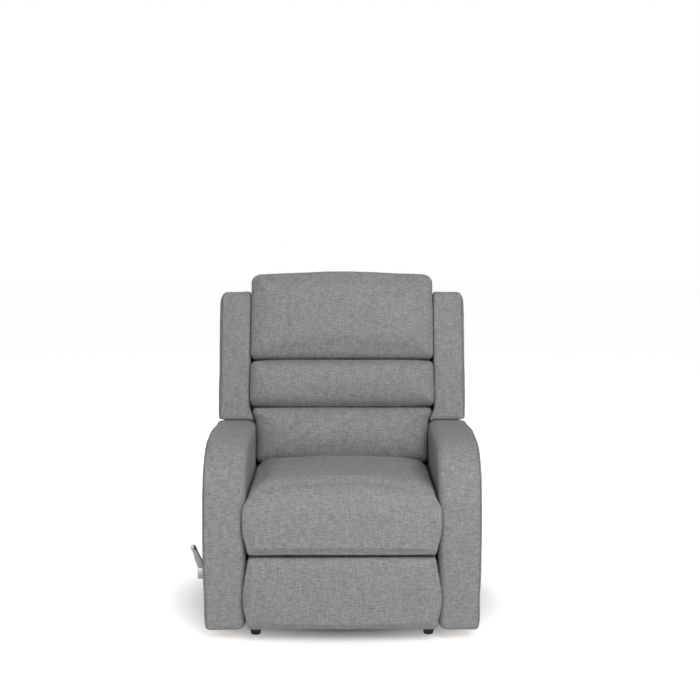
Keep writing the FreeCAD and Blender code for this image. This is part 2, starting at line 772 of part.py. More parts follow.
handle_length = size("handle_length", 241)
handle_angle = size("handle_angle", 148.2)
handle_width = size("handle_width", 18)
handle_thickness = size("handle_thickness", 8)
handle_tip = size("handle_tip", 18)
handle_flare = size("handle_flare", 5)
handle_root_x = -hub_out + handle_width / 2


def handle_wire(share, width, thickness):
    """Section of the handle at a share of its length, from the hub to the flared tip."""
    distance = handle_length * share
    x = handle_root_x - handle_flare * share**2
    turn = math.radians(handle_angle)
    y = shaft_centre[0] + distance * math.cos(turn)
    z = shaft_centre[1] + distance * math.sin(turn)
    centre = Vector(x, y, z)
    up = Vector(0, -math.sin(turn), math.cos(turn))
    across = Vector(1, 0, 0)
    half_x = width / 2
    half_t = thickness / 2
    corners = [(-half_x, -half_t), (half_x, -half_t), (half_x, half_t), (-half_x, half_t)]
    return rounded_wire(corners, [half_t] * 4, 0, lambda p: centre + across * p.x + up * p.y)


# Shares of the handle's length, of its blade's width and thickness, and of its tip's
BLADE_STEPS = ((0.0, 1.0, 1.8), (0.2, 1.0, 1.3), (0.5, 1.0, 1.0), (0.78, 1.0, 1.0))
TIP_STEPS = ((0.9, 1.1, 0.7), (0.96, 1.0, 0.95), (0.99, 0.8, 0.75), (1.0, 0.5, 0.45))
handle_wires = []
for share, broad, thick in BLADE_STEPS:
    handle_wires.append(handle_wire(share, handle_width * broad, handle_thickness * thick))
for share, broad, thick in TIP_STEPS:
    handle_wires.append(handle_wire(share, handle_tip * broad, handle_tip * thick))
hub_start = Vector(-hub_out - soft_gap, shaft_centre[0], shaft_centre[1])
hub_space = Part.makeCylinder(hub_radius, hub_thickness + 2 * soft_gap, hub_start, Vector(1, 0, 0))
soft_form("lever_handle", handle_wires, [hub_space])

# Drive rods from the cranks to the rear links
rod_run = rear_pivot[0] - shaft_centre[0]
rod_rise = rear_pivot[1] - shaft_centre[1]
rod_text = "sqrt((%s)^2 + (%s)^2)" % (rod_run.text, rod_rise.text)
rod_length = Size(math.hypot(rod_run, rod_rise), rod_text)
rod_angle = math.degrees(math.atan2(rod_rise, rod_run))
rod_half = size("rod_half", 8.5)
rod_holes = [(0.0, pin_radius + running_gap), (rod_length, pin_radius + open_gap)]
rods = []
for name, side in SIDES:
    rod_x = layer_x(side, rod_inside, rod_outside)
    rods.append(make_link("drive_rod_" + name, rod_length, rod_holes, rod_x, crank_pin, rod_angle, rod_half))
keep(group("drive_rods", rods), "drive_rods")

# Four links on each side, which unfold the footrest
rear_link_holes = [
    (0.0, pin_radius + running_gap),
    (drive_arm, pin_radius),
    (link_length, pin_radius),
]
front_link_holes = [
    (0.0, pin_radius + running_gap),
    (link_length, pin_radius + open_gap),
    (link_length + link_tail, pin_radius),
]
upper_link_holes = [
    (0.0, pin_radius + running_gap),
    (link_spread, pin_radius),
    (thrust_length, pin_radius + running_gap),
]
lower_length = thrust_length - link_spread
lower_link_holes = [(0.0, pin_radius + running_gap), (lower_length, pin_radius + open_gap)]
rear_link_pins = []
front_link_pins = []
upper_link_pins = []
for name, side in SIDES:
    first_x = layer_x(side, first_inside, first_outside)
    second_x = layer_x(side, second_inside, second_outside)
    front_length = link_length + link_tail
    rear = make_link("rear_link_" + name, link_length, rear_link_holes, first_x, rear_pivot, link_angle)
    thrust_line = (second_x, rear_joint, thrust_angle)
    tail_line = (second_x, tail_joint, thrust_angle)
    front = make_link("front_link_" + name, front_length, front_link_holes, first_x, front_pivot, link_angle)
    upper = make_link("upper_link_" + name, thrust_length, upper_link_holes, *thrust_line)
    lower = make_link("lower_link_" + name, lower_length, lower_link_holes, *tail_line)
    for kind, link in (("rear", rear), ("front", front), ("upper", upper), ("lower", lower)):
        keep(link, kind + "_link_" + name)
    collar = (second_outside + head_gap, first_inside)
    head_in = second_inside - head_gap
    rear_pin = make_pin("rear_joint_pin_" + name, side, rear_joint, head_in, first_outside, [collar])
    tail_pin = make_pin("tail_pin_" + name, side, tail_joint, head_in, first_outside, [collar])
    collar = (rod_outside + head_gap, first_inside)
    head_in = rod_inside - head_gap
    drive_pin = make_pin("drive_pin_" + name, side, drive_joint, head_in, first_outside, [collar])
    rear_link_pins.extend([rear_pin, drive_pin])
    front_link_pins.append(tail_pin)
    collar = (second_outside, first_inside - head_gap)
    head_out = first_outside + head_gap
    front_pin = make_pin("front_joint_pin_" + name, side, front_joint, second_inside, head_out, [collar])
    upper_link_pins.append(front_pin)
keep(group("rear_link_pins", rear_link_pins), "rear_link_pins")
keep(group("front_link_pins", front_link_pins), "front_link_pins")
keep(group("upper_link_pins", upper_link_pins), "upper_link_pins")

# Footrest: two steel brackets, a board and a pad
footrest_back = size("footrest_back", 395)
footrest_front = size("footrest_front", 476)
footrest_bottom = size("footrest_bottom", 40)
footrest_top = size("footrest_top", 257.5)
footrest_board_half = arm_inside - size("board_side_gap", 10)
footrest_board_thickness = size("footrest_board_thickness", 15)
footrest_board_inset = size("footrest_board_inset", 20)
footrest_flare = size("footrest_flare", 15)
footrest_corner = size("footrest_corner", 9)
footrest_swell_low = size("footrest_swell_low", 66)
footrest_swell_high = size("footrest_swell_high", 100)
bracket_flange = size("bracket_flange", 22)
bracket_margin = size("bracket_margin", 14)
board_y = (-footrest_back - footrest_board_thickness, -footrest_back)
board_z = (footrest_bottom + footrest_board_inset, footrest_top - footrest_board_inset)
footrest_board = make_box("footrest_board", (-footrest_board_half, footrest_board_half), board_y, board_z)
keep(footrest_board, "footrest_board")
footrest_pins = []
for name, side in SIDES:
    corners = [
        (-footrest_back, lower_end[1] - bracket_margin),
        (lower_end[0] + bracket_margin, lower_end[1] - bracket_margin),
        (lower_end[0] + bracket_margin, lower_end[1] + bracket_margin / 2),
        (upper_end[0] + bracket_margin, upper_end[1] + bracket_margin),
        (-footrest_back, upper_end[1] + bracket_margin),
    ]
    holes = [(upper_end[0], upper_end[1], pin_radius), (lower_end[0], lower_end[1], pin_radius)]
    web_x = layer_x(side, first_inside, first_outside)
    web = make_plate("bracket_web_" + name, corners, holes, web_x)
    flange = make_box(
        "bracket_flange_" + name,
        span(side, first_inside - bracket_flange, first_inside),
        (-footrest_back, -footrest_back + plate),
        (lower_end[1] - bracket_margin, upper_end[1] + bracket_margin),
    )
    keep(fuse("footrest_bracket_" + name, [web, flange]), "footrest_bracket_" + name)
    collar = (second_outside + head_gap, first_inside)
    head_in = second_inside - head_gap
    for key, point in (("upper", upper_end), ("lower", lower_end)):
        pin_name = "footrest_pin_" + key + name
        footrest_pins.append(make_pin(pin_name, side, point, head_in, first_outside, [collar]))
keep(group("footrest_pins", footrest_pins), "footrest_pins")


def footrest_wire(y, inset, swell):
    half = seat_half + swell
    end_half = seat_half - pad_narrowing
    low = footrest_bottom
    high = footrest_top
    corners = [
        (-end_half, low),
        (end_half, low),
        (half, low + footrest_swell_low),
        (half, high - footrest_swell_high),
        (end_half, high),
        (-end_half, high),
        (-half, high - footrest_swell_high),
        (-half, low + footrest_swell_low),
    ]
    radii = [footrest_corner, footrest_corner, swell_radius, swell_radius] * 2
    return rounded_wire(corners, radii, inset, lambda p: Vector(p.x, y, p.y))


# Steps through the pad from its back or front, as shares of its edge, with its draw-in and its swelling
PAD_BACK_STEPS = ((0, 0.17, 0), (1, 0, 0), (2.17, 0, 0), (3.5, 0, 0.3))
PAD_FRONT_STEPS = ((1.17, 0, 1), (0.67, 0.13, 1), (0.25, 0.45, 1), (0, 1.3, 1))
pad_edge = size("pad_edge", 9)
pad_back = -footrest_back - footrest_board_thickness - contact_gap
pad_stations = [(pad_back - pad_edge * step, inset, swell) for step, inset, swell in PAD_BACK_STEPS]
pad_stations += [(-footrest_front + pad_edge * step, inset, swell) for step, inset, swell in PAD_FRONT_STEPS]
footrest_wires = [
    footrest_wire(y, pad_edge * inset, footrest_flare * swell) for y, inset, swell in pad_stations
]
soft_form("footrest_cushion", footrest_wires)

# Back frame: two posts on steel hinge arms, three rails and elastic straps, all leaning


back_turn = FreeCAD.Placement(Vector(0, back_pivot[0], back_pivot[1]), Rotation(Vector(1, 0, 0), -lean))


def lean_back(thing):
    """Turns a piece made upright at the origin to the back's lean, and carries it to the pivot."""
    thing.Placement = back_turn.multiply(thing.Placement)


def make_back_box(label, x, v, w):
    """A box in the back's own frame, where v is its depth and w its height above the pivot."""
    box = document.addObject("Part::Box", label)
    bind(box, Length=x[1] - x[0], Width=v[1] - v[0], Height=w[1] - w[0])
    box.Placement = FreeCAD.Placement(Vector(x[0], v[0], w[0]), Rotation())
    lean_back(box)
    return box


back_overhang = size("back_overhang", 22.7)
back_half = arm_inside + back_overhang
side_panel_thickness = size("side_panel_thickness", 14)
back_rail_thickness = size("back_rail_thickness", 24)
back_rail_depth = rear_panel_front - post_front - post_depth
post_out = first_inside
post_in = post_out - post_width
rail_v = (post_front + post_depth, post_front + post_depth + back_rail_depth)
lower_rail_height = size("lower_rail_height", 50)
middle_rail_height = size("middle_rail_height", 340)
top_rail_height = post_top - size("top_rail_drop", 40)
back_rails = (
    ("back_lower_rail", lower_rail_height, seat_half - side_panel_thickness),
    ("back_middle_rail", middle_rail_height, back_half),
    ("back_top_rail", top_rail_height, back_half),
)
for label, low, reach in back_rails:
    keep(make_back_box(label, (-reach, reach), rail_v, (low, low + back_rail_thickness)), label)
for name, side in SIDES:
    post_x = span(side, post_in, post_out)
    post_v = (post_front, post_front + post_depth)
    keep(make_back_box("back_post_" + name, post_x, post_v, (post_low, post_top)), "back_post_" + name)

hinge_arm_top = size("hinge_arm_top", 180)
hinge_eye = size("hinge_eye", 14)
hinge_arm_margin = size("hinge_arm_margin", 2)
hinge_arm_corners = [
    (-hinge_eye, -hinge_eye),
    (hinge_eye, -hinge_eye),
    (post_front + post_depth - hinge_arm_margin, post_low + hinge_arm_margin),
    (post_front + post_depth - hinge_arm_margin, hinge_arm_top),
    (post_front + hinge_arm_margin, hinge_arm_top),
    (post_front + hinge_arm_margin, post_low + 2 * hinge_eye),
    (hinge_eye + hinge_arm_margin, post_low + hinge_eye / 2),
    (-hinge_eye, hinge_eye),
]
for name, side in SIDES:
    arm_hole = (0.0, 0.0, pin_radius + running_gap)
    arm_x = layer_x(side, first_inside, first_outside)
    arm = make_plate("back_hinge_arm_" + name, hinge_arm_corners, [arm_hole], arm_x)
    lean_back(arm)
    keep(arm, "back_hinge_arm_" + name)

back_strap_count = 6
back_strap_width = size("back_strap_width", 50)
back_strap_pitch = size("back_strap_pitch", 92)
back_strap_low = size("back_strap_low", 70)
back_straps = []
for i in range(back_strap_count):
    low = back_strap_low + back_strap_pitch * i
    strap_w = (low, low + back_strap_width)
    strap_v = (post_front - webbing, post_front)
    back_straps.append(make_back_box("back_strap_%d" % i, (-post_out, post_out), strap_v, strap_w))
keep(group("back_webbing", back_straps), "back_webbing")

# Back cushions, each crowned towards the sitter with drawn-in seams above and below
cushion_back = post_front - webbing - contact_gap
cushion_wall = size("cushion_wall", 48)
cushion_crown = size("cushion_crown", 54)
lower_bottom = size("lower_bottom", 36)
lower_seam = size("lower_seam", 226)
lumbar_seam = size("lumbar_seam", 384)
head_top = size("head_top", 676)
head_arch = size("head_arch", 14)
upper_half = back_half - size("upper_clearance", 1.7)
lumbar_half = back_half - size("lumbar_clearance", 1.7)
shoulder = size("shoulder", 176)
side_corner = size("side_corner", 24)
head_corner = size("head_corner", 34)
shoulder_radius = size("shoulder_radius", 30)
arch_radius = size("arch_radius", 1600)
cushion_edge = size("cushion_edge", 10)
lower_reach = size("lower_reach", 66)
lumbar_reach = size("lumbar_reach", 56)
head_reach = size("head_reach", 84)
# Steps forwards from a cushion's flat back, as shares of its edge, with how far its outline is drawn in
CUSHION_STEPS = ((0, 0.5), (1, 0), (4, 0))


def back_wire(corners, radii, v, inset):
    return rounded_wire(corners, radii, inset, lambda p: back_turn.multVec(Vector(p.x, v, p.y)))


def back_cushion(label, corners, radii, reach):
    """A cushion of the back, whose outline is drawn in by a reach at its front."""
    stations = [(cushion_back - cushion_edge * step, cushion_edge * inset) for step, inset in CUSHION_STEPS]
    for depth, inset in edge_roll(cushion_crown, reach):
        stations.append((-cushion_wall - depth, inset))
    soft_form(label, [back_wire(corners, radii, v, inset) for v, inset in stations])


low_corners = [
    (-seat_half, lower_bottom),
    (seat_half, lower_bottom),
    (seat_half, shoulder),
    (lumbar_half, lower_seam - seam_gap),
    (-lumbar_half, lower_seam - seam_gap),
    (-seat_half, shoulder),
]
low_radii = [side_corner, side_corner, shoulder_radius, side_corner, side_corner, shoulder_radius]
back_cushion("lower_back_cushion", low_corners, low_radii, lower_reach)
mid_corners = [
    (-lumbar_half, lower_seam),
    (lumbar_half, lower_seam),
    (lumbar_half, lumbar_seam - seam_gap),
    (-lumbar_half, lumbar_seam - seam_gap),
]
back_cushion("lumbar_cushion", mid_corners, [side_corner] * 4, lumbar_reach)
head_corners = [
    (-upper_half, lumbar_seam),
    (upper_half, lumbar_seam),
    (upper_half, head_top),
    (0, head_top + head_arch),
    (-upper_half, head_top),
]
head_radii = [side_corner, side_corner, head_corner, arch_radius, head_corner]
back_cushion("headrest_cushion", head_corners, head_radii, head_reach)

# Padded wings beside the cushions, cut level just above the arms and round behind them,
# with a lip beside the lowest cushion
wing_in = back_half + contact_gap
wing_width = size("wing_width", 104.5)
wing_out = wing_in + wing_width
wing_front = size("wing_front", 60)
wing_rear = size("wing_rear", 150)
wing_top = size("wing_top", 623)
wing_low_front = size("wing_low_front", 140)
wing_low_rear = size("wing_low_rear", 150)
wing_heel = size("wing_heel", 50)
wing_chin = size("wing_chin", 12)
wing_roll = size("wing_roll", 24)
wing_edge = size("wing_edge", 10)
wing_clearance = soft_gap + contact_gap
arm_swing = math.hypot(arm_rear - back_pivot[0], arm_top - arm_slope_drop - back_pivot[1]) + wing_clearance
lip_in = seat_half + 2 * soft_gap
lip_gap = size("lip_gap", 7)
lip_rear = wing_rear + wing_heel - wing_edge
lip_rise = (lower_seam - seam_gap - shoulder) / (lumbar_half - seat_half)
wing_corners = [
    (-wing_front + wing_chin, wing_low_front),
    (wing_rear + wing_heel, wing_low_rear),
    (wing_rear, wing_top),
    (-wing_front, wing_top),
]
wing_radii = [size("wing_chin_radius", 20), size("wing_heel_radius", 30)]
wing_radii += [size("wing_crown_radius", 50), size("wing_brow_radius", 34)]
# Steps outwards from an inner face, as shares of the wing's edge, each with how far its outline is drawn in
WING_STEPS = ((0, 0.6), (0.4, 0.2), (1, 0))


def wing_wire(x, inset):
    return rounded_wire(wing_corners, wing_radii, inset, lambda p: back_turn.multVec(Vector(x, p.x, p.y)))


def wing_wires(side):
    stations = [(wing_in + wing_edge * step, wing_edge * inset) for step, inset in WING_STEPS]
    stations += [(wing_out - wing_roll + depth, inset) for depth, inset in edge_roll(wing_roll, wing_roll)]
    return [wing_wire(side * x, inset) for x, inset in stations]


def lip_wire(side, x, inset):
    """Outline of a wing's lip, whose top follows the side of the lowest cushion."""
    top = shoulder + (x - seat_half) * lip_rise - lip_gap
    front = -wing_front + wing_chin
    corners = [(front, wing_low_front), (lip_rear, wing_low_front), (lip_rear, top), (front, top)]
    radii = [wing_edge] * 4
    return rounded_wire(corners, radii, inset, lambda p: back_turn.multVec(Vector(side * x, p.x, p.y)))


def make_lip(side):
    stations = [(lip_in + wing_edge * step, wing_edge * inset) for step, inset in WING_STEPS]
    stations.append((wing_in + wing_edge, 0))
    return Part.makeLoft([lip_wire(side, x, inset) for x, inset in stations], True, True)


def make_arm_clearance(side):
    """The room that a wing leaves over the rolled top of its arm, and behind it as the back is laid down."""
    outer_radius = arm_inner_radius + wing_clearance
    stations = []
    for depth, inset in reversed(edge_roll(outer_radius, outer_radius)):
        stations.append((arm_inside + arm_inner_radius - depth, arm_top + wing_clearance - inset))
    stations.append((wing_out + wing_clearance, arm_top + wing_clearance))
    low = arm_top - arm_slope_drop
    rear = arm_rear + wing_width
    wires = []
    for x, high in stations:
        outline = [(-arm_front, low), (rear, low), (rear, high), (-arm_front, high), (-arm_front, low)]
        wires.append(Part.makePolygon([Vector(side * x, y, z) for y, z in outline]))
    swing_in = span(side, arm_inside - wing_clearance, wing_out + 2 * wing_clearance)[0]
    swing_width = wing_out - arm_inside + 3 * wing_clearance
    swing = Part.makeCylinder(arm_swing, swing_width, Vector(swing_in, *back_pivot), Vector(1, 0, 0))
    return Part.makeLoft(wires, True, True).common(swing)


for name, side in SIDES:
    soft_form("wing_" + name, wing_wires(side), [make_arm_clearance(side)], [make_lip(side)])

# Padded rear of the back, and the roll that closes its top
panel_depth = size("panel_depth", 34)
panel_low = size("panel_low", 40)
panel_neck = size("panel_neck", 180)
panel_top = post_top - seam_gap
panel_waist = size("panel_waist", 242)
panel_foot = size("panel_foot", 30)
panel_side = size("panel_side", 40)
panel_head = size("panel_head", 20)
roll_top = size("roll_top", 672)
panel_corners = [
    (-seat_half, -panel_low),
    (seat_half, -panel_low),
    (seat_half, panel_neck),
    (back_half, panel_waist),
    (back_half, panel_top),
    (-back_half, panel_top),
    (-back_half, panel_waist),
    (-seat_half, panel_neck),
]
panel_radii = [panel_foot, panel_foot, panel_side, panel_side, panel_head, panel_head, panel_side, panel_side]
# Shares of the panel's depth, each with how far its outline is drawn in there, as a share too
PANEL_STEPS = ((0, 0), (0.55, 0), (0.85, 0.2), (1, 0.76))
panel_wires = []
for share, inset in PANEL_STEPS:
    panel_v = rear_panel_front + panel_depth * share
    panel_wires.append(back_wire(panel_corners, panel_radii, panel_v, panel_depth * inset))
soft_form("outside_back_panel", panel_wires)
side_panel_top = size("side_panel_top", 320)
side_panel_front = post_front + seam_gap
side_panel_z = (lower_bottom, side_panel_top)
side_panels = []
for name, side in SIDES:
    panel_x = span(side, seat_half - side_panel_thickness, seat_half)
    side_panel_v = (side_panel_front, rear_panel_front - contact_gap)
    side_panels.append(make_back_box("side_panel_" + name, panel_x, side_panel_v, side_panel_z))
keep(group("back_side_panels", side_panels), "back_side_panels")
roll_front = cushion_back + seam_gap
roll_rear = rear_panel_front + panel_depth
roll_slope = size("roll_slope", 10)
roll_corners = [
    (roll_front, post_top),
    (roll_rear, post_top),
    (roll_rear - roll_slope, roll_top),
    (roll_front, roll_top),
]
roll_radii = [size("roll_front_low", 4), size("roll_rear_low", 14)]
roll_radii += [size("roll_rear_high", 16), size("roll_front_high", 6)]
# Steps inwards from each end of the roll, as shares of its edge, with how far its outline is drawn in
ROLL_STEPS = ((0, 0.45), (0.3, 0.25), (1, 0))
roll_edge = size("roll_edge", 20)


def roll_wire(x, inset):
    return rounded_wire(roll_corners, roll_radii, inset, lambda p: back_turn.multVec(Vector(x, p.x, p.y)))


roll_ends = [(roll_edge * step, roll_edge * inset) for step, inset in ROLL_STEPS]
roll_wires = [roll_wire(-upper_half + step, inset) for step, inset in roll_ends]
roll_wires += [roll_wire(upper_half - step, inset) for step, inset in reversed(roll_ends)]
soft_form("back_top_roll", roll_wires)

document.recompute()


def check_and_write():
    """Stops on any failed object or bad solid, then writes one file for each sub-part."""
    for thing in document.Objects:
        if "Invalid" in thing.State or "Error" in thing.State:
            raise RuntimeError("failed object: %s %s" % (thing.Label, thing.State))
    for thing in parts:
        if thing.Shape.isNull() or not thing.Shape.isValid():
            raise RuntimeError("bad shape: " + thing.Label)
    labels = [thing.Label for thing in parts]
    if len(labels) != len(set(labels)) or len(labels) > 60:
        raise RuntimeError("%d names, %d different" % (len(labels), len(set(labels))))
    os.makedirs("parts", exist_ok=True)
    for thing in parts:
        thing.Shape.exportStep("parts/" + thing.Label + ".step")
        box = thing.Shape.BoundBox
        print("%-26s %2d solid(s) x %7.1f %7.1f  y %7.1f %7.1f  z %7.1f %7.1f" % (
            thing.Label, len(thing.Shape.Solids), box.XMin, box.XMax, box.YMin, box.YMax, box.ZMin, box.ZMax))
    print(len(parts), "sub-parts")


check_and_write()
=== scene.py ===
import math

import bpy
import numpy as np
from mathutils import Matrix, Vector, noise


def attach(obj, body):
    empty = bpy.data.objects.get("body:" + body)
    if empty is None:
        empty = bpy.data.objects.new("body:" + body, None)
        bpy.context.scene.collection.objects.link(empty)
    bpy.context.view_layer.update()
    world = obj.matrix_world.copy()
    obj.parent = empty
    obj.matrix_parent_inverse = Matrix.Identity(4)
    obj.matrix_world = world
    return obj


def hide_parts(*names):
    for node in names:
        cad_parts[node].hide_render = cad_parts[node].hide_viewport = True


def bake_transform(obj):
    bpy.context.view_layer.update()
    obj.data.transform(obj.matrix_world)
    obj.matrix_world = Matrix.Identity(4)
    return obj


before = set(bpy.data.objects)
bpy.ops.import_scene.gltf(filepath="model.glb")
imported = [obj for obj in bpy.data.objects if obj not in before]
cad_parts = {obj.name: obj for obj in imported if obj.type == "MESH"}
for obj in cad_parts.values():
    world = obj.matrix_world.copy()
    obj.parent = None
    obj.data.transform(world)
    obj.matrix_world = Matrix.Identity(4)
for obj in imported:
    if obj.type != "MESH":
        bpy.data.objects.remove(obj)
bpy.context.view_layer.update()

# The view is that of a long lens a little above the headrest, looking slightly down at the front.
# The chair stands low in a square picture, and a little to the left of its middle.
VIEW_PLACE = (0.0, -4.2661, 1.2713)
VIEW_DOWN = math.radians(3.56)
VIEW_RIGHT = math.radians(0.351)
LENS_LENGTH = 67.38
LENS_SHIFT = -0.08
bpy.ops.object.camera_add(
    location=VIEW_PLACE, rotation=(math.pi / 2 - VIEW_DOWN, 0, -VIEW_RIGHT)
)
camera = bpy.context.object
camera.data.sensor_width = 36
camera.data.lens = LENS_LENGTH
camera.data.shift_y = LENS_SHIFT
bpy.context.scene.camera = camera
bpy.context.scene.view_settings.view_transform = "Standard"


# The studio is a white floor under a pale sky, with broad soft lamps: a strong high one, a low one
# before the chair on either side, and one behind it. The camera and metal see floor and sky as plain
# white, and the floor keeps the chair's shadow. Its white glow fades out round the chair, a painted
# shade that darkens the floor near it.
class Wire:
    """One socket of a finish. Sums of wires and numbers add their own Math nodes."""

    def __init__(self, finish, socket):
        self.finish = finish
        self.socket = socket

    def __getitem__(self, name):
        return Wire(self.finish, self.socket.node.outputs[name])

    def maths(self, operation, first, second=0.0):
        return self.finish.node("ShaderNodeMath", {"operation": operation}, {0: first, 1: second})

    def __add__(self, other):
        return self.maths("ADD", self, other)

    __radd__ = __add__

    def __mul__(self, other):
        return self.maths("MULTIPLY", self, other)

    __rmul__ = __mul__

    def __sub__(self, other):
        return self.maths("SUBTRACT", self, other)

    def __rsub__(self, other):
        return self.maths("SUBTRACT", other, self)

    def __gt__(self, other):
        return self.maths("GREATER_THAN", self, other)

    def __lt__(self, other):
        return self.maths("LESS_THAN", self, other)

    def __abs__(self):
        return self.maths("ABSOLUTE", self)

    def sine(self):
        return self.maths("SINE", self)


class Finish:
    """A node tree that is built up one node at a time."""

    def __init__(self, tree):
        self.tree = tree

    def node(self, kind, settings, sockets, output=0):
        made = self.tree.nodes.new(kind)
        for name, value in settings.items():
            if name == "stops":
                for stop, (place, colour) in zip(made.color_ramp.elements, value):
                    stop.position = place
                    stop.color = colour
            else:
                setattr(made, name, value)
        for name, value in sockets.items():
            self.join(value, made.inputs[name])
        return Wire(self, made.outputs[output])

    def join(self, value, socket):
        if isinstance(value, Wire):
            self.tree.links.new(value.socket, socket)
        else:
            socket.default_value = value


def seen_directly(finish):
    """1 where the camera, metal or glass looks, and 0 where light only falls on the chair."""
    rays = finish.node("ShaderNodeLightPath", {}, {}, "Is Camera Ray")
    return rays + rays["Is Glossy Ray"] + rays["Is Transmission Ray"]


def stretched(finish, place, scales):
    return finish.node(
        "ShaderNodeVectorMath", {"operation": "MULTIPLY"}, {0: place, 1: scales}, "Vector"
    )


SKY_LIGHT = 0.25
sky = bpy.data.worlds.new("white_sky")
sky.use_nodes = True
bpy.context.scene.world = sky
sky_finish = Finish(sky.node_tree)
sky_light = seen_directly(sky_finish) * (1 - SKY_LIGHT) + SKY_LIGHT
background = sky.node_tree.nodes["Background"].inputs
sky_finish.join(sky_light, background["Strength"])
background["Color"].default_value = (1, 1, 1, 1)

FLOOR_SIZE = 40
FLOOR_GREY = (0.8, 0.8, 0.8, 1)
# Painted shade round the chair: the floor's glow is black within 0.33 of the stretched distance from
# the middle and full white from 0.64.
PAINTED_SHADE_SHAPE = (1.0, 1.05, 0)
GLOW_AND_PAINTED_SHADE_STOPS = ((0.33, (0, 0, 0, 1)), (0.64, (1, 1, 1, 1)))
GLOW_STRENGTH = 0.78
bpy.ops.object.select_all(action="DESELECT")
bpy.ops.mesh.primitive_plane_add(size=FLOOR_SIZE, location=(0, 0, 0))
floor = bpy.context.object
floor.name = "studio_floor"
floor_paint = bpy.data.materials.new("white_floor")
floor_paint.use_nodes = True
floor.data.materials.append(floor_paint)
floor_finish = Finish(floor_paint.node_tree)
seen = seen_directly(floor_finish)
matt = floor_finish.node("ShaderNodeBsdfDiffuse", {}, {"Color": FLOOR_GREY})
spot = floor_finish.node("ShaderNodeTexCoord", {}, {}, "Object")
spot = stretched(floor_finish, spot, PAINTED_SHADE_SHAPE)
away = floor_finish.node("ShaderNodeVectorMath", {"operation": "LENGTH"}, {0: spot}, "Value")
# The glow's colour, black near the chair and white farther off, paints shade round the chair.
lift = floor_finish.node("ShaderNodeValToRGB", {"stops": GLOW_AND_PAINTED_SHADE_STOPS}, {"Fac": away})
glow = floor_finish.node("ShaderNodeEmission", {}, {"Color": lift, "Strength": GLOW_STRENGTH})
lit = floor_finish.node("ShaderNodeAddShader", {}, {0: matt, 1: glow})
both = floor_finish.node("ShaderNodeMixShader", {}, {0: seen, 1: matt, 2: lit})
floor_finish.join(both, floor_paint.node_tree.nodes["Material Output"].inputs["Surface"])

LAMP_AIM = Vector((0, 0, 0.45))
for name, place, width, power in (
    ("high_lamp", (0.9, -3.2, 2.9), 2.2, 92),
    ("key_lamp", (1.7, -3.7, 1.9), 2.0, 30),
    ("fill_lamp", (-1.9, -3.9, 1.3), 2.4, 28),
    ("rear_lamp", (-1.2, 3.4, 2.6), 3.0, 40),
):
    lamp = bpy.data.objects.new(name, bpy.data.lights.new(name, "AREA"))
    lamp.data.size = width
    lamp.data.energy = power
    lamp.location = place
    lamp.rotation_euler = (LAMP_AIM - Vector(place)).to_track_quat("-Z", "Y").to_euler()
    bpy.context.scene.collection.objects.link(lamp)


# The base is a welded frame of square steel tube on four feet. The linkages' plates and links are
# pressed steel. All of it has a black powder coat, a little glossier in some patches than in others.
def new_finish(name, constants):
    """A material with fixed values on its surface shader, ready for more nodes."""
    material = bpy.data.materials.new(name)
    material.use_nodes = True
    finish = Finish(material.node_tree)
    finish.material = material
    finish.shader = material.node_tree.nodes["Principled BSDF"].inputs
    for socket, value in constants.items():
        finish.shader[socket].default_value = value
    return finish


def grains(finish, place, scale, detail=3.0):
    """A noise pattern over a place, about 1/scale metres wide."""
    return finish.node("ShaderNodeTexNoise", {}, {"Vector": place, "Scale": scale, "Detail": detail})


def bumps(finish, height, depth):
    return finish.node(
        "ShaderNodeBump", {}, {"Height": height, "Distance": depth, "Strength": 1.0}, "Normal"
    )


def tint(finish, share, dark, light):
    """A colour between two others."""
    return finish.node("ShaderNodeMix", {"data_type": "RGBA"}, {0: share, 6: dark, 7: light}, 2)


def paint(finish, share, dark, light):
    """Tints the surface between two greys or browns by a pattern."""
    finish.join(tint(finish, share, (*dark, 1), (*light, 1)), finish.shader["Base Color"])


coat = new_finish("black_powder_coat", {"Specular IOR Level": 0.5})
place = coat.node("ShaderNodeTexCoord", {}, {}, "Object")
fine = grains(coat, place, 900, 2.0)
broad = grains(coat, place, 18)
paint(coat, broad, (0.022, 0.022, 0.024), (0.040, 0.040, 0.043))
coat.join(broad * 0.2 + 0.34, coat.shader["Roughness"])
coat.join(bumps(coat, fine, 0.0002), coat.shader["Normal"])


def dress(nodes, finish):
    """Gives CAD nodes a finish."""
    for name in nodes:
        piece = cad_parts[name]
        piece.data.materials.clear()
        piece.data.materials.append(finish.material)


def both_sides(*stems):
    return [stem + side for stem in stems for side in ("_left", "_right")]


coated = ["cross_tubes", "drive_rods", "drive_cranks"]
coated += both_sides("base_rail", "side_plate", "back_hinge_plate")
coated += both_sides("rear_link", "front_link", "upper_link", "lower_link")
coated += both_sides("footrest_bracket", "back_hinge_arm")
dress(coated, coat)

# Pins, bolts and the lever's shaft are turned steel with a bright zinc plate,
# which shows fine turning rings and a faint cloudiness.
zinc = new_finish("zinc_plate", {"Metallic": 1.0})
place = zinc.node("ShaderNodeTexCoord", {}, {}, "Object")
cloud = grains(zinc, place, 60)
paint(zinc, cloud, (0.44, 0.44, 0.45), (0.62, 0.62, 0.63))
zinc.join(cloud * 0.18 + 0.24, zinc.shader["Roughness"])
rings = grains(zinc, stretched(zinc, place, (2400, 200, 200)), 1.0)
zinc.join(bumps(zinc, rings, 0.00005), zinc.shader["Normal"])
turned = ["plate_bolts", "pivot_pins", "crank_pins", "rear_link_pins", "front_link_pins"]
turned += ["upper_link_pins", "footrest_pins", "lever_shaft"]
dress(turned, zinc)

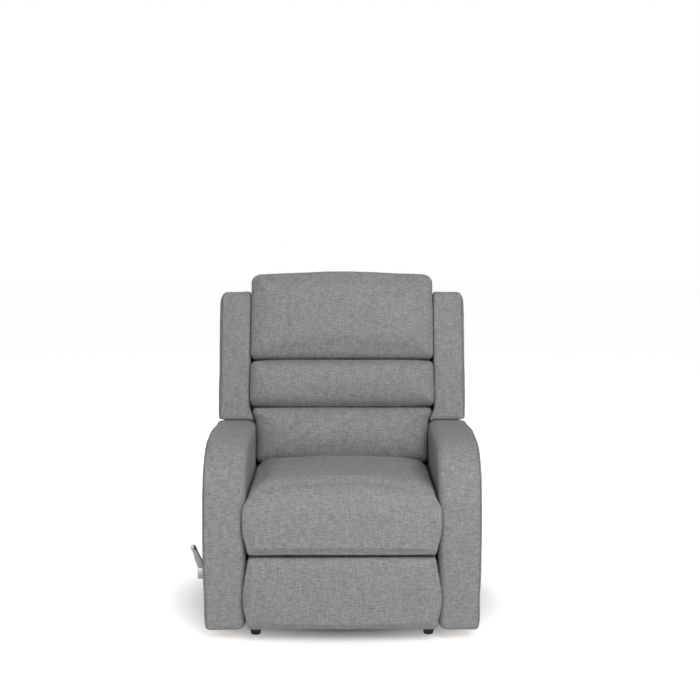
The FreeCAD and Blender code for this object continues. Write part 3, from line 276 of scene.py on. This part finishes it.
# Black moulded plastic: the four glides under the base and the bushes of the lever's shaft.
# The surface is matt with a fine spark texture.
plastic = new_finish("black_plastic", {"Specular IOR Level": 0.4})
place = plastic.node("ShaderNodeTexCoord", {}, {}, "Object")
spark = grains(plastic, place, 1400, 2.0)
paint(plastic, spark, (0.008, 0.008, 0.008), (0.016, 0.016, 0.016))
plastic.join(spark * 0.2 + 0.45, plastic.shader["Roughness"])
plastic.join(bumps(plastic, spark, 0.00015), plastic.shader["Normal"])
dress(["shaft_bushes"], plastic)

GLIDE_SIDE = 0.261
GLIDE_FRONT = -0.372
GLIDE_REAR = 0.225
GLIDE_HEIGHT = 0.014
GLIDE_RADIUS = 0.0165
GLIDE_TAPER = 0.86
GLIDE_ROUNDING = 0.0022
GLIDE_RIM = 0.0035
CREASE_ANGLE = math.radians(40)


def select_only(*pieces):
    """Selects some objects and nothing else, with the first one active."""
    bpy.ops.object.select_all(action="DESELECT")
    for piece in pieces:
        piece.select_set(True)
    bpy.context.view_layer.objects.active = pieces[0]


def finish_with(piece, kind, **settings):
    """Adds a modifier with its settings and applies it."""
    made = piece.modifiers.new(kind.lower(), kind)
    for name, value in settings.items():
        setattr(made, name, value)
    bpy.context.view_layer.objects.active = piece
    bpy.ops.object.modifier_apply(modifier=made.name)


def pick_faces(piece, wanted):
    """Selects the faces of a mesh in edit mode by their centre and normal."""
    bpy.ops.object.mode_set(mode="OBJECT")
    for part in (piece.data.vertices, piece.data.edges, piece.data.polygons):
        part.foreach_set("select", [False] * len(part))
    for face in piece.data.polygons:
        face.select = wanted(face.center, face.normal)
    bpy.ops.object.mode_set(mode="EDIT")


def join_pieces(pieces, name):
    select_only(*pieces)
    bpy.ops.object.join()
    bpy.context.object.name = name
    return bpy.context.object


def settle(piece, finish, body, node):
    """Bakes a piece's place into its mesh, gives it its finish and body, and hides the CAD node it
    stands in for.
    """
    select_only(piece)
    bpy.ops.object.transform_apply(location=True, rotation=True, scale=True)
    bpy.ops.object.shade_smooth_by_angle(angle=CREASE_ANGLE)
    piece.data.materials.clear()
    piece.data.materials.append(finish.material)
    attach(piece, body)
    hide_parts(node)


bpy.ops.object.select_all(action="DESELECT")
bpy.ops.mesh.primitive_cylinder_add(
    vertices=48, radius=GLIDE_RADIUS, depth=GLIDE_HEIGHT, location=(0, 0, GLIDE_HEIGHT / 2)
)
glide = bpy.context.object
select_only(glide)
pick_faces(glide, lambda centre, normal: normal.z < -0.9)
bpy.ops.transform.resize(value=(GLIDE_TAPER, GLIDE_TAPER, 1))
bpy.ops.mesh.bevel(offset=GLIDE_ROUNDING, segments=4, affect="EDGES")
pick_faces(glide, lambda centre, normal: normal.z > 0.9)
bpy.ops.mesh.inset(thickness=GLIDE_RIM)
bpy.ops.object.mode_set(mode="OBJECT")
glides = []
for y in (GLIDE_FRONT, GLIDE_REAR):
    for x in (-GLIDE_SIDE, GLIDE_SIDE):
        copy = bpy.data.objects.new("glide", glide.data.copy())
        copy.location = (x, y, GLIDE_HEIGHT / 2)
        bpy.context.scene.collection.objects.link(copy)
        glides.append(copy)
bpy.data.objects.remove(glide)
settle(join_pieces(glides, "base_glides"), plastic, "root", "feet")

# The wooden parts are plywood rails, cleats and panels, bare and lightly sanded.
# The grain runs across the chair, and the plies show as faint lines one above another.
ply = new_finish("bare_plywood", {"Specular IOR Level": 0.3})
place = ply.node("ShaderNodeTexCoord", {}, {}, "Object")
fibre = grains(ply, stretched(ply, place, (5, 130, 130)), 1.0, 4.0)
plies = abs((ply.node("ShaderNodeSeparateXYZ", {}, {0: place})["Z"] * 1050).sine())
figure = fibre * 0.75 + plies * 0.12
paint(ply, figure, (0.30, 0.19, 0.10), (0.66, 0.48, 0.30))
ply.join(fibre * 0.2 + 0.6, ply.shader["Roughness"])
ply.join(bumps(ply, fibre, 0.0003), ply.shader["Normal"])
wooden = ["arm_cleats", "seat_front_rail", "seat_rear_rail", "seat_side_rails", "footrest_board"]
wooden += ["back_lower_rail", "back_middle_rail", "back_top_rail"]
dress(wooden + both_sides("arm_frame", "back_post"), ply)

# Elastic webbing carries the seat and the back: flat black straps with fine ribs, stapled on the
# rails at their ends and hanging a little between them.
strap_weave = new_finish("elastic_webbing", {"Roughness": 0.85, "Sheen Weight": 0.1})
place = strap_weave.node("ShaderNodeTexCoord", {}, {}, "Object")
axes = strap_weave.node("ShaderNodeSeparateXYZ", {}, {0: place})
ribs = abs((axes["X"] * 1500).sine()) * 0.5 + abs((axes["Z"] * 1500).sine()) * 0.5
paint(strap_weave, ribs, (0.015, 0.015, 0.016), (0.06, 0.06, 0.062))
strap_weave.join(bumps(strap_weave, ribs, 0.0004), strap_weave.shader["Normal"])

STRAPS = 6
STRAP_WIDTH = 0.047
STRAP_THICKNESS = 0.0013
STRAP_EDGE = 0.0003
STRAP_SAG = 0.006
STRAP_HOLD = 0.024
SEAT_STRAP_LENGTH = 0.400
SEAT_STRAP_STEP = 0.086
SEAT_STRAP_DEPTH = -0.2005
SEAT_STRAP_HEIGHT = 0.3301
BACK_STRAP_LENGTH = 0.508
BACK_STRAP_STEP = 0.092
BACK_STRAP_DEPTH = 0.0219
BACK_STRAP_LOWEST = 0.095
BACK_PIVOT = (0, 0.060, 0.395)
BACK_LEAN = math.radians(15)
back_turn = Matrix.Translation(BACK_PIVOT) @ Matrix.Rotation(-BACK_LEAN, 4, "X")


def make_strap(length, sag):
    """One flat strap along X, whose middle hangs down and whose ends lie flat on their rails."""
    bpy.ops.object.select_all(action="DESELECT")
    bpy.ops.mesh.primitive_grid_add(x_subdivisions=40, y_subdivisions=4, size=1)
    strap = bpy.context.object
    strap.scale = (length, STRAP_WIDTH, 1)
    bpy.ops.object.transform_apply(scale=True)
    for point in strap.data.vertices:
        share = min(abs(point.co.x) / (length / 2 - STRAP_HOLD), 1.0)
        point.co.z = STRAP_THICKNESS / 2 - sag * (1 + math.cos(math.pi * share)) / 2
    finish_with(strap, "SOLIDIFY", thickness=STRAP_THICKNESS, offset=0.0)
    finish_with(strap, "BEVEL", width=STRAP_EDGE, segments=1)
    return strap


seat_straps = []
for i in range(STRAPS):
    on_side_rail = i in (0, STRAPS - 1)
    strap = make_strap(SEAT_STRAP_LENGTH, 0.0 if on_side_rail else STRAP_SAG)
    spot = (SEAT_STRAP_STEP * (i - (STRAPS - 1) / 2), SEAT_STRAP_DEPTH, SEAT_STRAP_HEIGHT)
    strap.matrix_world = Matrix.Translation(spot) @ Matrix.Rotation(math.pi / 2, 4, "Z")
    seat_straps.append(strap)
settle(join_pieces(seat_straps, "seat_straps"), strap_weave, "root", "seat_webbing")
back_straps = []
for i in range(STRAPS):
    strap = make_strap(BACK_STRAP_LENGTH, STRAP_SAG)
    spot = (0, BACK_STRAP_DEPTH, BACK_STRAP_LOWEST + BACK_STRAP_STEP * i)
    upright = Matrix.Translation(spot) @ Matrix.Rotation(math.pi / 2, 4, "X")
    strap.matrix_world = back_turn @ upright
    back_straps.append(strap)
settle(join_pieces(back_straps, "back_straps"), strap_weave, "back", "back_webbing")

# The cloth is a plain weave of slubby yarns in two greys. Thick and thin places in the yarns make
# short light and dark dashes along and across the cloth, and a faint mottle from a distance.
YARN = 0.0021
DASH = 0.011
SLUB_LENGTH = 0.020
SLUB_WIDTH = 0.0036
SEAM_REACH = 0.02
SEAM_HALF_WIDTH = 0.0022
cloth = new_finish("grey_weave", {"Roughness": 0.9, "Sheen Weight": 0.08, "Sheen Roughness": 0.5})
place = cloth.node("ShaderNodeTexCoord", {}, {}, "Object")
axes = cloth.node("ShaderNodeSeparateXYZ", {}, {0: place})
facing = cloth.node("ShaderNodeSeparateXYZ", {}, {0: place["Normal"]})
nx, ny, nz = abs(facing["X"]), abs(facing["Y"]), abs(facing["Z"])
side = (nx > ny) * (nx > nz)
flat = (nz > ny) * (1 - side)
across = axes["X"] * (1 - side) + axes["Y"] * side
along = axes["Z"] * (1 - flat) + axes["Y"] * flat


def dashes(longways, sideways, length, width, seed):
    """Uneven tone of the yarns that run one way."""
    sockets = {0: longways * (1 / length), 1: sideways * (1 / width), 2: seed}
    return grains(cloth, cloth.node("ShaderNodeCombineXYZ", {}, sockets), 1.0, 1.0)


weft = dashes(across, along, DASH, YARN, 3.7)
warp = dashes(along, across, DASH, YARN, 9.1)
slubs = dashes(across, along, SLUB_LENGTH, SLUB_WIDTH, 5.2)
slubs = slubs + dashes(along, across, SLUB_LENGTH, SLUB_WIDTH, 1.4) * 0.8
mottle = grains(cloth, place, 14, 2.0)
weft_wave = (across * (math.pi / YARN)).sine()
warp_wave = (along * (math.pi / YARN)).sine()
over = weft_wave * warp_wave > 0.0
tone = (weft * over + warp * (1 - over)) * 0.98 + slubs * 0.7 + mottle * 0.12 - 0.68
# Along each seam the colour is darkened, a painted shade in the seam's groove; the bump sinks there
# too.
seam_side = cloth.node("ShaderNodeAttribute", {"attribute_name": "seam_side"}, {}, "Fac")
seam_depth = abs(seam_side - 2.0) * (SEAM_REACH / SEAM_HALF_WIDTH)
groove_and_shade = (1 - seam_depth) * (seam_depth < 1.0)
tone = tone - groove_and_shade * 0.45
paint(cloth, tone, (0.130, 0.130, 0.132), (0.430, 0.430, 0.434))
yarns = abs(weft_wave) * (1 - over) + abs(warp_wave) * over
cloth.join(bumps(cloth, yarns + tone * 0.6 - groove_and_shade * 3.0, 0.0006), cloth.shader["Normal"])


def cover_from(node, voxel):
    """Copies a node's form with faces that are even, ready to be shaped."""
    piece = bpy.data.objects.new("cover_" + node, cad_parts[node].data.copy())
    bpy.context.scene.collection.objects.link(piece)
    select_only(piece)
    piece.data.materials.clear()
    bpy.ops.object.mode_set(mode="EDIT")
    bpy.ops.mesh.select_all(action="SELECT")
    bpy.ops.mesh.remove_doubles(threshold=1e-5)
    bpy.ops.object.mode_set(mode="OBJECT")
    finish_with(piece, "REMESH", mode="VOXEL", voxel_size=voxel)
    return piece


def ramp(values, start, end):
    """0 up to the start, 1 from the end on, and even in between, upwards or downwards."""
    return np.clip((values - start) / (end - start), 0, 1)


def points_of(piece):
    points = np.empty(len(piece.data.vertices) * 3, np.float32)
    piece.data.vertices.foreach_get("co", points)
    return points.reshape(-1, 3).astype(float)


def normals_of(piece):
    normals = np.empty(len(piece.data.vertices) * 3, np.float32)
    piece.data.vertex_normals.foreach_get("vector", normals)
    return normals.reshape(-1, 3).astype(float)


def set_points(piece, points):
    piece.data.vertices.foreach_set("co", points.astype(np.float32).ravel())
    piece.data.update()


DRAWN_IN = 0.004
SLACK = 0.002
FILLING_STEPS = 20
SOFT_FILLING = 4.0
THIN_FILLING = 3.0
LUMP_DEPTH = 0.0012
SEAM_PINCH = 0.0008
SEAM_PINCH_WIDTH = 0.004


def fill_out(piece, pressure, cap, share):
    """Blows a cover up like a filled cushion, by no more than a cap, and each point by its share."""
    start = points_of(piece)
    ways = normals_of(piece)
    shares = share(start)
    set_points(piece, start - ways * (shares * DRAWN_IN)[:, None])
    filling = piece.modifiers.new("filling", "CLOTH")
    filling.settings.use_pressure = True
    filling.settings.uniform_pressure_force = pressure
    filling.settings.effector_weights.gravity = 0
    filling.settings.quality = 4
    for step in range(1, FILLING_STEPS + 1):
        bpy.context.scene.frame_set(step)
    bpy.context.view_layer.objects.active = piece
    bpy.ops.object.modifier_apply(modifier="filling")
    bpy.context.scene.frame_set(1)
    swell = np.sum((points_of(piece) - start) * ways, axis=1)
    swell = np.where(swell > 0, cap * np.tanh(swell / cap), SLACK * np.tanh(swell / SLACK))
    set_points(piece, start + ways * (swell * shares)[:, None])


def lump(point):
    """How far the padding stands out at a point: broad lumps of foam and finer ones of fibre."""
    return noise.noise(Vector(point) * 9) + noise.noise(Vector(point) * 23) * 0.4


def settle_padding(piece):
    """Gives the padding the slight unevenness of fibre and foam under cloth."""
    points = points_of(piece)
    swell = np.array([lump(point) for point in points])
    set_points(piece, points + normals_of(piece) * (swell * LUMP_DEPTH)[:, None])


def finish_cover(piece, node, body, room, seam_at=None, refined=True, bend=None):
    """Relaxes and refines a cover, keeps it in its room, sews its seam and gives it its cloth.

    A bend names the stretch over which it would turn from the fixed frame to its body; the stretch
    itself is not used, and a cover given one is baked in place instead of going with its body.
    """
    settle_padding(piece)
    finish_with(piece, "SMOOTH", factor=0.5, iterations=2)
    if refined:
        finish_with(piece, "SUBSURF", levels=1, render_levels=1)
    points = room(points_of(piece))
    set_points(piece, points)
    if seam_at:
        signed = seam_at(points)
        pinch = np.exp(-((signed / SEAM_PINCH_WIDTH) ** 2)) * SEAM_PINCH
        set_points(piece, points - normals_of(piece) * pinch[:, None])
        mark = piece.data.attributes.new("seam_side", "FLOAT", "POINT")
        mark.data.foreach_set("value", np.clip(signed / SEAM_REACH, -1, 1) + 2)
    piece.data.materials.append(cloth.material)
    for face in piece.data.polygons:
        face.use_smooth = True
    if bend:
        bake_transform(piece)
    else:
        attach(piece, body)
    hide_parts(node)


def anywhere(points):
    """The room of a cover that nothing crowds."""
    return points


# Each arm is a plywood box wrapped in foam and covered all over. The cloth is sewn where its top band
# meets the flat outer side, rolls softly over the inner side, and is stapled under the box.
ARM_CROWN = 0.006
ARM_BULGE = 0.003
ARM_SEAM = 0.4080
ARM_TAPER = 0.004
ARM_FOOT_ROUNDING = 0.006
ARM_VOXEL = 0.0055


def arm_crown(points):
    """How far up its crown a point of the arm lies, before the wing, from 0 to 1."""
    y, z = points[:, 1], points[:, 2]
    return np.sin(np.pi * ramp(y, -0.34, 0.04)) ** 2 * ramp(z, 0.44, 0.56)


def arm_drawn(points):
    """How far the arm's outer side is drawn in towards the foot."""
    z = points[:, 2]
    return ARM_TAPER * ramp(z, 0.216, 0.136) + ARM_FOOT_ROUNDING * ramp(z, 0.09, 0.034) ** 2.5


def arm_room(points):
    """Crowns the arm, fills its outer side beside the crown, and draws the side in at the foot."""
    x, y, z = points.T
    crown = arm_crown(points)
    out = (ARM_BULGE * crown - arm_drawn(points)) * ramp(np.abs(x), 0.36, 0.41)
    return np.stack([x + np.sign(x) * out, y, z + ARM_CROWN * crown], axis=1)


def arm_seam(points):
    """The seam's side, with the crown's swell and the drawn foot taken back out."""
    return np.abs(points[:, 0]) - ARM_BULGE * arm_crown(points) + arm_drawn(points) - ARM_SEAM


for node in both_sides("arm_cover"):
    finish_cover(cover_from(node, ARM_VOXEL), node, "root", arm_room, arm_seam, refined=False)

# The seat cushion is foam with a soft fibre wrap. It fills the width between the arms, swells out in
# front of them and rolls down over the front rail to the footrest.
ARM_INSIDE = 0.285
ARM_ROLL = 0.028
ARM_ROLL_REAR = -0.432
ARM_SIDE_GAP = 0.0008
PAD_WIDEST_HALF = 0.2995
SEAT_FRONT = -0.4875
SEAT_REAR = 0.0040
SEAT_LOWEST = 0.2606
SEAT_HIGHEST = 0.486
RAIL_FRONT = -0.4017
RAIL_REAR = -0.36
RAIL_TOP = 0.3322
SEAT_SWELL = 0.018
FRONT_VOXEL = 0.006


def flared_half(y):
    """How wide a front pad may be at a depth, between the arms' rolled inner edges."""
    out = np.clip(ARM_ROLL_REAR - y, 0, ARM_ROLL)
    flare = ARM_ROLL - np.sqrt(ARM_ROLL**2 - out**2)
    return np.minimum(ARM_INSIDE - ARM_SIDE_GAP + flare, PAD_WIDEST_HALF)


def seat_room(points):
    """Keeps the seat between the arms, above its frame, and before and above the front rail."""
    x, y, z = points.T
    y = np.clip(y, SEAT_FRONT, SEAT_REAR)
    x = np.clip(x, -flared_half(y), flared_half(y))
    over_rail = y > RAIL_FRONT
    z = np.where(over_rail & (y > RAIL_REAR), np.maximum(z, RAIL_TOP), z)
    inside = over_rail & (z < RAIL_TOP)
    lift = inside & (RAIL_TOP - z < y - RAIL_FRONT)
    z = np.where(lift, RAIL_TOP, z)
    y = np.where(inside & ~lift, RAIL_FRONT, y)
    return np.stack([x, y, np.clip(z, SEAT_LOWEST, SEAT_HIGHEST)], axis=1)


def seat_share(points):
    """The seat swells at its top and its front roll, and little under the back's foot."""
    y, z = points[:, 1], points[:, 2]
    open_sides = np.clip(ramp(z, 0.345, 0.395) + ramp(y, -0.415, -0.445), 0, 1)
    return open_sides * np.maximum(ramp(y, 0.02, -0.04), 0.2)


piece = cover_from("seat_cushion", FRONT_VOXEL)
fill_out(piece, SOFT_FILLING, SEAT_SWELL, seat_share)
finish_cover(piece, "seat_cushion", "root", seat_room)

# A thin padded board closes the gap between the arms behind, below the back.
# Its cloth is wrapped round the board and stapled inside.
THIN_BOARD_VOXEL = 0.0045
finish_cover(cover_from("rear_skirt", THIN_BOARD_VOXEL), "rear_skirt", "root", anywhere)

# The footrest pad is foam on a plywood board, in a cover pulled round to the board's rear.
# It swells a little past the arms' inner edges, like the seat above it.
PAD_FRONT = -0.4835
PAD_REAR = -0.4104
PAD_LOWEST = 0.0385
PAD_HIGHEST = 0.2588
PAD_SWELL = 0.014


def footrest_room(points):
    x, y, z = points.T
    y = np.clip(y, PAD_FRONT, PAD_REAR)
    x = np.clip(x, -flared_half(y), flared_half(y))
    return np.stack([x, y, np.clip(z, PAD_LOWEST, PAD_HIGHEST)], axis=1)


def footrest_share(points):
    return ramp(points[:, 1], -0.418, -0.448)


piece = cover_from("footrest_cushion", FRONT_VOXEL)
fill_out(piece, SOFT_FILLING, PAD_SWELL, footrest_share)
finish_cover(piece, "footrest_cushion", "footrest", footrest_room)

# Three fibre-filled cushions cover the back's front from the seat up: low, middle and head.
# They are sewn to one backing, press on each other along deep creases, and bulge most at their middle.
CUSHION_STRETCH = 1.014
CUSHION_REAR = 0.0202
CUSHION_VOXEL = 0.0055
BEND_START = 0.045
BEND_END = 0.195


def to_back(points):
    """Points in the back's own upright frame: across, depth and height."""
    turn = np.array(back_turn.inverted())
    return points @ turn[:3, :3].T + turn[:3, 3]


def from_back(points):
    turn = np.array(back_turn)
    return points @ turn[:3, :3].T + turn[:3, 3]


def widening(height, narrow, wide, start, slope):
    """Half a width in the back that grows above a height, from the arms' gap to the wings' gap."""
    return np.clip(narrow + (height - start) * slope, narrow, wide)


def cushion_room(low, high):
    """Room of a back cushion between the creases at two heights, beside the arms and the wings."""

    def room(points):
        x, depth, height = to_back(points).T
        half = widening(height, 0.2843, 0.3068, 0.178, 0.48)
        x = np.clip(x * CUSHION_STRETCH, -half, half)
        depth = np.minimum(depth, CUSHION_REAR)
        return from_back(np.stack([x, depth, np.clip(height, low, high)], axis=1))

    return room


def cushion_share(points):
    """The cushions swell at their front, and little at the seat and at the top."""
    depth, height = to_back(points).T[1:]
    above_seat = np.maximum(ramp(height, 0.03, 0.12), 0.15)
    below_top = np.maximum(ramp(height, 0.69, 0.63), 0.2)
    return ramp(depth, 0.01, -0.03) * above_seat * below_top


def on_back(height):
    """The place in the chair of a height on the back's middle line."""
    return tuple(from_back(np.array([[0, 0, height]]))[0].tolist())


# The low cushion is given the stretch where it would bend above its foot; it is baked in place and
# does not go with the back as it reclines.
FOOT_BEND = (on_back(BEND_START), on_back(BEND_END))
for node, low, high, cap, bend in (
    ("lower_back_cushion", 0.034, 0.2246, 0.016, FOOT_BEND),
    ("lumbar_cushion", 0.2256, 0.3826, 0.016, None),
    ("headrest_cushion", 0.3836, 0.7000, 0.018, None),
):
    piece = cover_from(node, CUSHION_VOXEL)
    fill_out(piece, SOFT_FILLING, cap, cushion_share)
    finish_cover(piece, node, "back", cushion_room(low, high), bend=bend)

# The wings stand beside the cushions and are cut level just above the arms: foam over a board,
# with a seam where the band round the edge meets the outer side.
WING_SEAM = 0.4065
WING_SWELL = 0.003
WING_FOOT = 0.590
WING_FOOT_SINK = 0.0018
WING_FOOT_INSIDE = 0.318
WING_FOOT_REAR = 0.225
CORNER_SIDE = 0.4021
CORNER_HEIGHT = 0.5933
CORNER_RADIUS = 0.010
CORNER_POWER = 5
CORNER_GROWTH = 1.35
BACK_VOXEL = 0.006


def square_corner(points):
    """Squares a wing's rounded lower outer corner."""
    side = (np.abs(points[:, 0]) - CORNER_SIDE) / CORNER_RADIUS
    rise = (CORNER_HEIGHT - points[:, 2]) / CORNER_RADIUS
    corner = (side > 0) & (rise > 0) & (points[:, 1] < WING_FOOT_REAR)
    round_reach = np.hypot(side, rise) + 1e-9
    powers = np.abs(side) ** CORNER_POWER + np.abs(rise) ** CORNER_POWER
    square_reach = (powers + 1e-12) ** (1 / CORNER_POWER)
    grow = np.where(corner, np.minimum(round_reach / square_reach, CORNER_GROWTH), 1.0)
    points[:, 0] += np.sign(points[:, 0]) * side * CORNER_RADIUS * (grow - 1)
    points[:, 2] -= rise * CORNER_RADIUS * (grow - 1)


def wing_room(points):
    """Keeps a wing beside the cushions and lets its squared foot down towards the arm."""
    x, depth, height = to_back(points).T
    half = widening(height, 0.2872, 0.3079, 0.1804, 0.5)
    x = np.where(x > 0, np.maximum(x, half), np.minimum(x, -half))
    points = from_back(np.stack([x, depth, height], axis=1))
    square_corner(points)
    over_arm = (np.abs(points[:, 0]) > WING_FOOT_INSIDE) & (points[:, 1] < WING_FOOT_REAR)
    sink = ramp(points[:, 2], WING_FOOT, WING_FOOT - 0.005) * WING_FOOT_SINK
    points[:, 2] -= np.where(over_arm, sink, 0)
    return points


def wing_share(points):
    outward = ramp(np.abs(points[:, 0]), 0.312, 0.342)
    return outward * ramp(points[:, 2], WING_FOOT, WING_FOOT + 0.06)


def wing_seam(points):
    return np.abs(points[:, 0]) - WING_SEAM


for node in both_sides("wing"):
    piece = cover_from(node, BACK_VOXEL)
    fill_out(piece, THIN_FILLING, WING_SWELL, wing_share)
    finish_cover(piece, node, "back", wing_room, wing_seam)

# The rear of the back is a padded panel between the wings, with a roll above it that closes the top
# and narrow boards at its sides. The panel's cloth is sewn to a band round its edge.
PANEL_FRONT = 0.1182
PANEL_SEAM = 0.1440
PANEL_SWELL = 0.006


def panel_room(points):
    x, depth, height = to_back(points).T
    half = widening(height, 0.2822, 0.3074, 0.180, 0.41)
    x = np.clip(x, -half, half)
    return from_back(np.stack([x, np.maximum(depth, PANEL_FRONT), height], axis=1))


def panel_seam(points):
    return to_back(points)[:, 1] - PANEL_SEAM


def panel_share(points):
    return ramp(to_back(points)[:, 1], 0.130, 0.150)


piece = cover_from("outside_back_panel", BACK_VOXEL)
fill_out(piece, THIN_FILLING, PANEL_SWELL, panel_share)
finish_cover(piece, "outside_back_panel", "back", panel_room, panel_seam)
finish_cover(cover_from("back_top_roll", CUSHION_VOXEL), "back_top_roll", "back", anywhere)
side_boards = cover_from("back_side_panels", THIN_BOARD_VOXEL)
finish_cover(side_boards, "back_side_panels", "back", anywhere)

# The hand lever is cast light alloy with a satin finish: a round hub pressed on the shaft,
# and a blade, broad at the hub, that rises forwards to a rounded tip.
alloy = new_finish("satin_lever_metal", {"Metallic": 1.0})
place = alloy.node("ShaderNodeTexCoord", {}, {}, "Object")
brushed = grains(alloy, stretched(alloy, place, (900, 60, 900)), 1.0)
paint(alloy, brushed, (0.38, 0.38, 0.385), (0.52, 0.52, 0.525))
alloy.join(brushed * 0.12 + 0.36, alloy.shader["Roughness"])
HUB_RADIUS = 0.031
HUB_SPAN = (-0.4635, -0.4145)
HUB_RIM = 0.005
HUB_DISH = 0.0012
HUB_BUTTON_EDGE = 0.012
HUB_BUTTON_RISE = 0.0008
HUB_ROUNDING = 0.0022
SHAFT_PLACE = (-0.105, 0.125)
BLADE_LENGTH = 0.241
BLADE_ROOT_X = -0.452
BLADE_FLARE = 0.005
BLADE_BROAD = 0.36
BLADE_BROAD_END = 0.84
BLADE_VOXEL = 0.0018
bpy.ops.object.select_all(action="DESELECT")
bpy.ops.mesh.primitive_cylinder_add(vertices=96, radius=HUB_RADIUS, depth=HUB_SPAN[1] - HUB_SPAN[0])
hub = bpy.context.object
hub.name = "lever_boss"
select_only(hub)
pick_faces(hub, lambda centre, normal: normal.z < -0.9)
bpy.ops.mesh.inset(thickness=HUB_RIM)
bpy.ops.transform.translate(value=(0, 0, HUB_DISH))
bpy.ops.mesh.inset(thickness=HUB_BUTTON_EDGE)
bpy.ops.transform.translate(value=(0, 0, -HUB_BUTTON_RISE))
bpy.ops.object.mode_set(mode="OBJECT")
finish_with(
    hub, "BEVEL", width=HUB_ROUNDING, segments=4, limit_method="ANGLE", angle_limit=math.radians(50)
)
middle = (sum(HUB_SPAN) / 2, *SHAFT_PLACE)
hub.matrix_world = Matrix.Translation(middle) @ Matrix.Rotation(math.pi / 2, 4, "Y")
settle(hub, alloy, "lever", "lever_hub")

blade = cover_from("lever_handle", BLADE_VOXEL)
finish_with(blade, "SMOOTH", factor=0.5, iterations=4)
finish_with(blade, "SUBSURF", levels=1, render_levels=1)
blade.name = "lever_blade"
points = points_of(blade)
reach = np.hypot(points[:, 1] - SHAFT_PLACE[0], points[:, 2] - SHAFT_PLACE[1]) / BLADE_LENGTH
middle_x = BLADE_ROOT_X - BLADE_FLARE * reach**2
near_hub = ramp(reach, BLADE_BROAD_END, BLADE_BROAD_END / 2)
broad = 1 + BLADE_BROAD * np.sin(near_hub * np.pi / 2) ** 2
points[:, 0] = middle_x + (points[:, 0] - middle_x) * broad
set_points(blade, points)
settle(blade, alloy, "lever", "lever_handle")
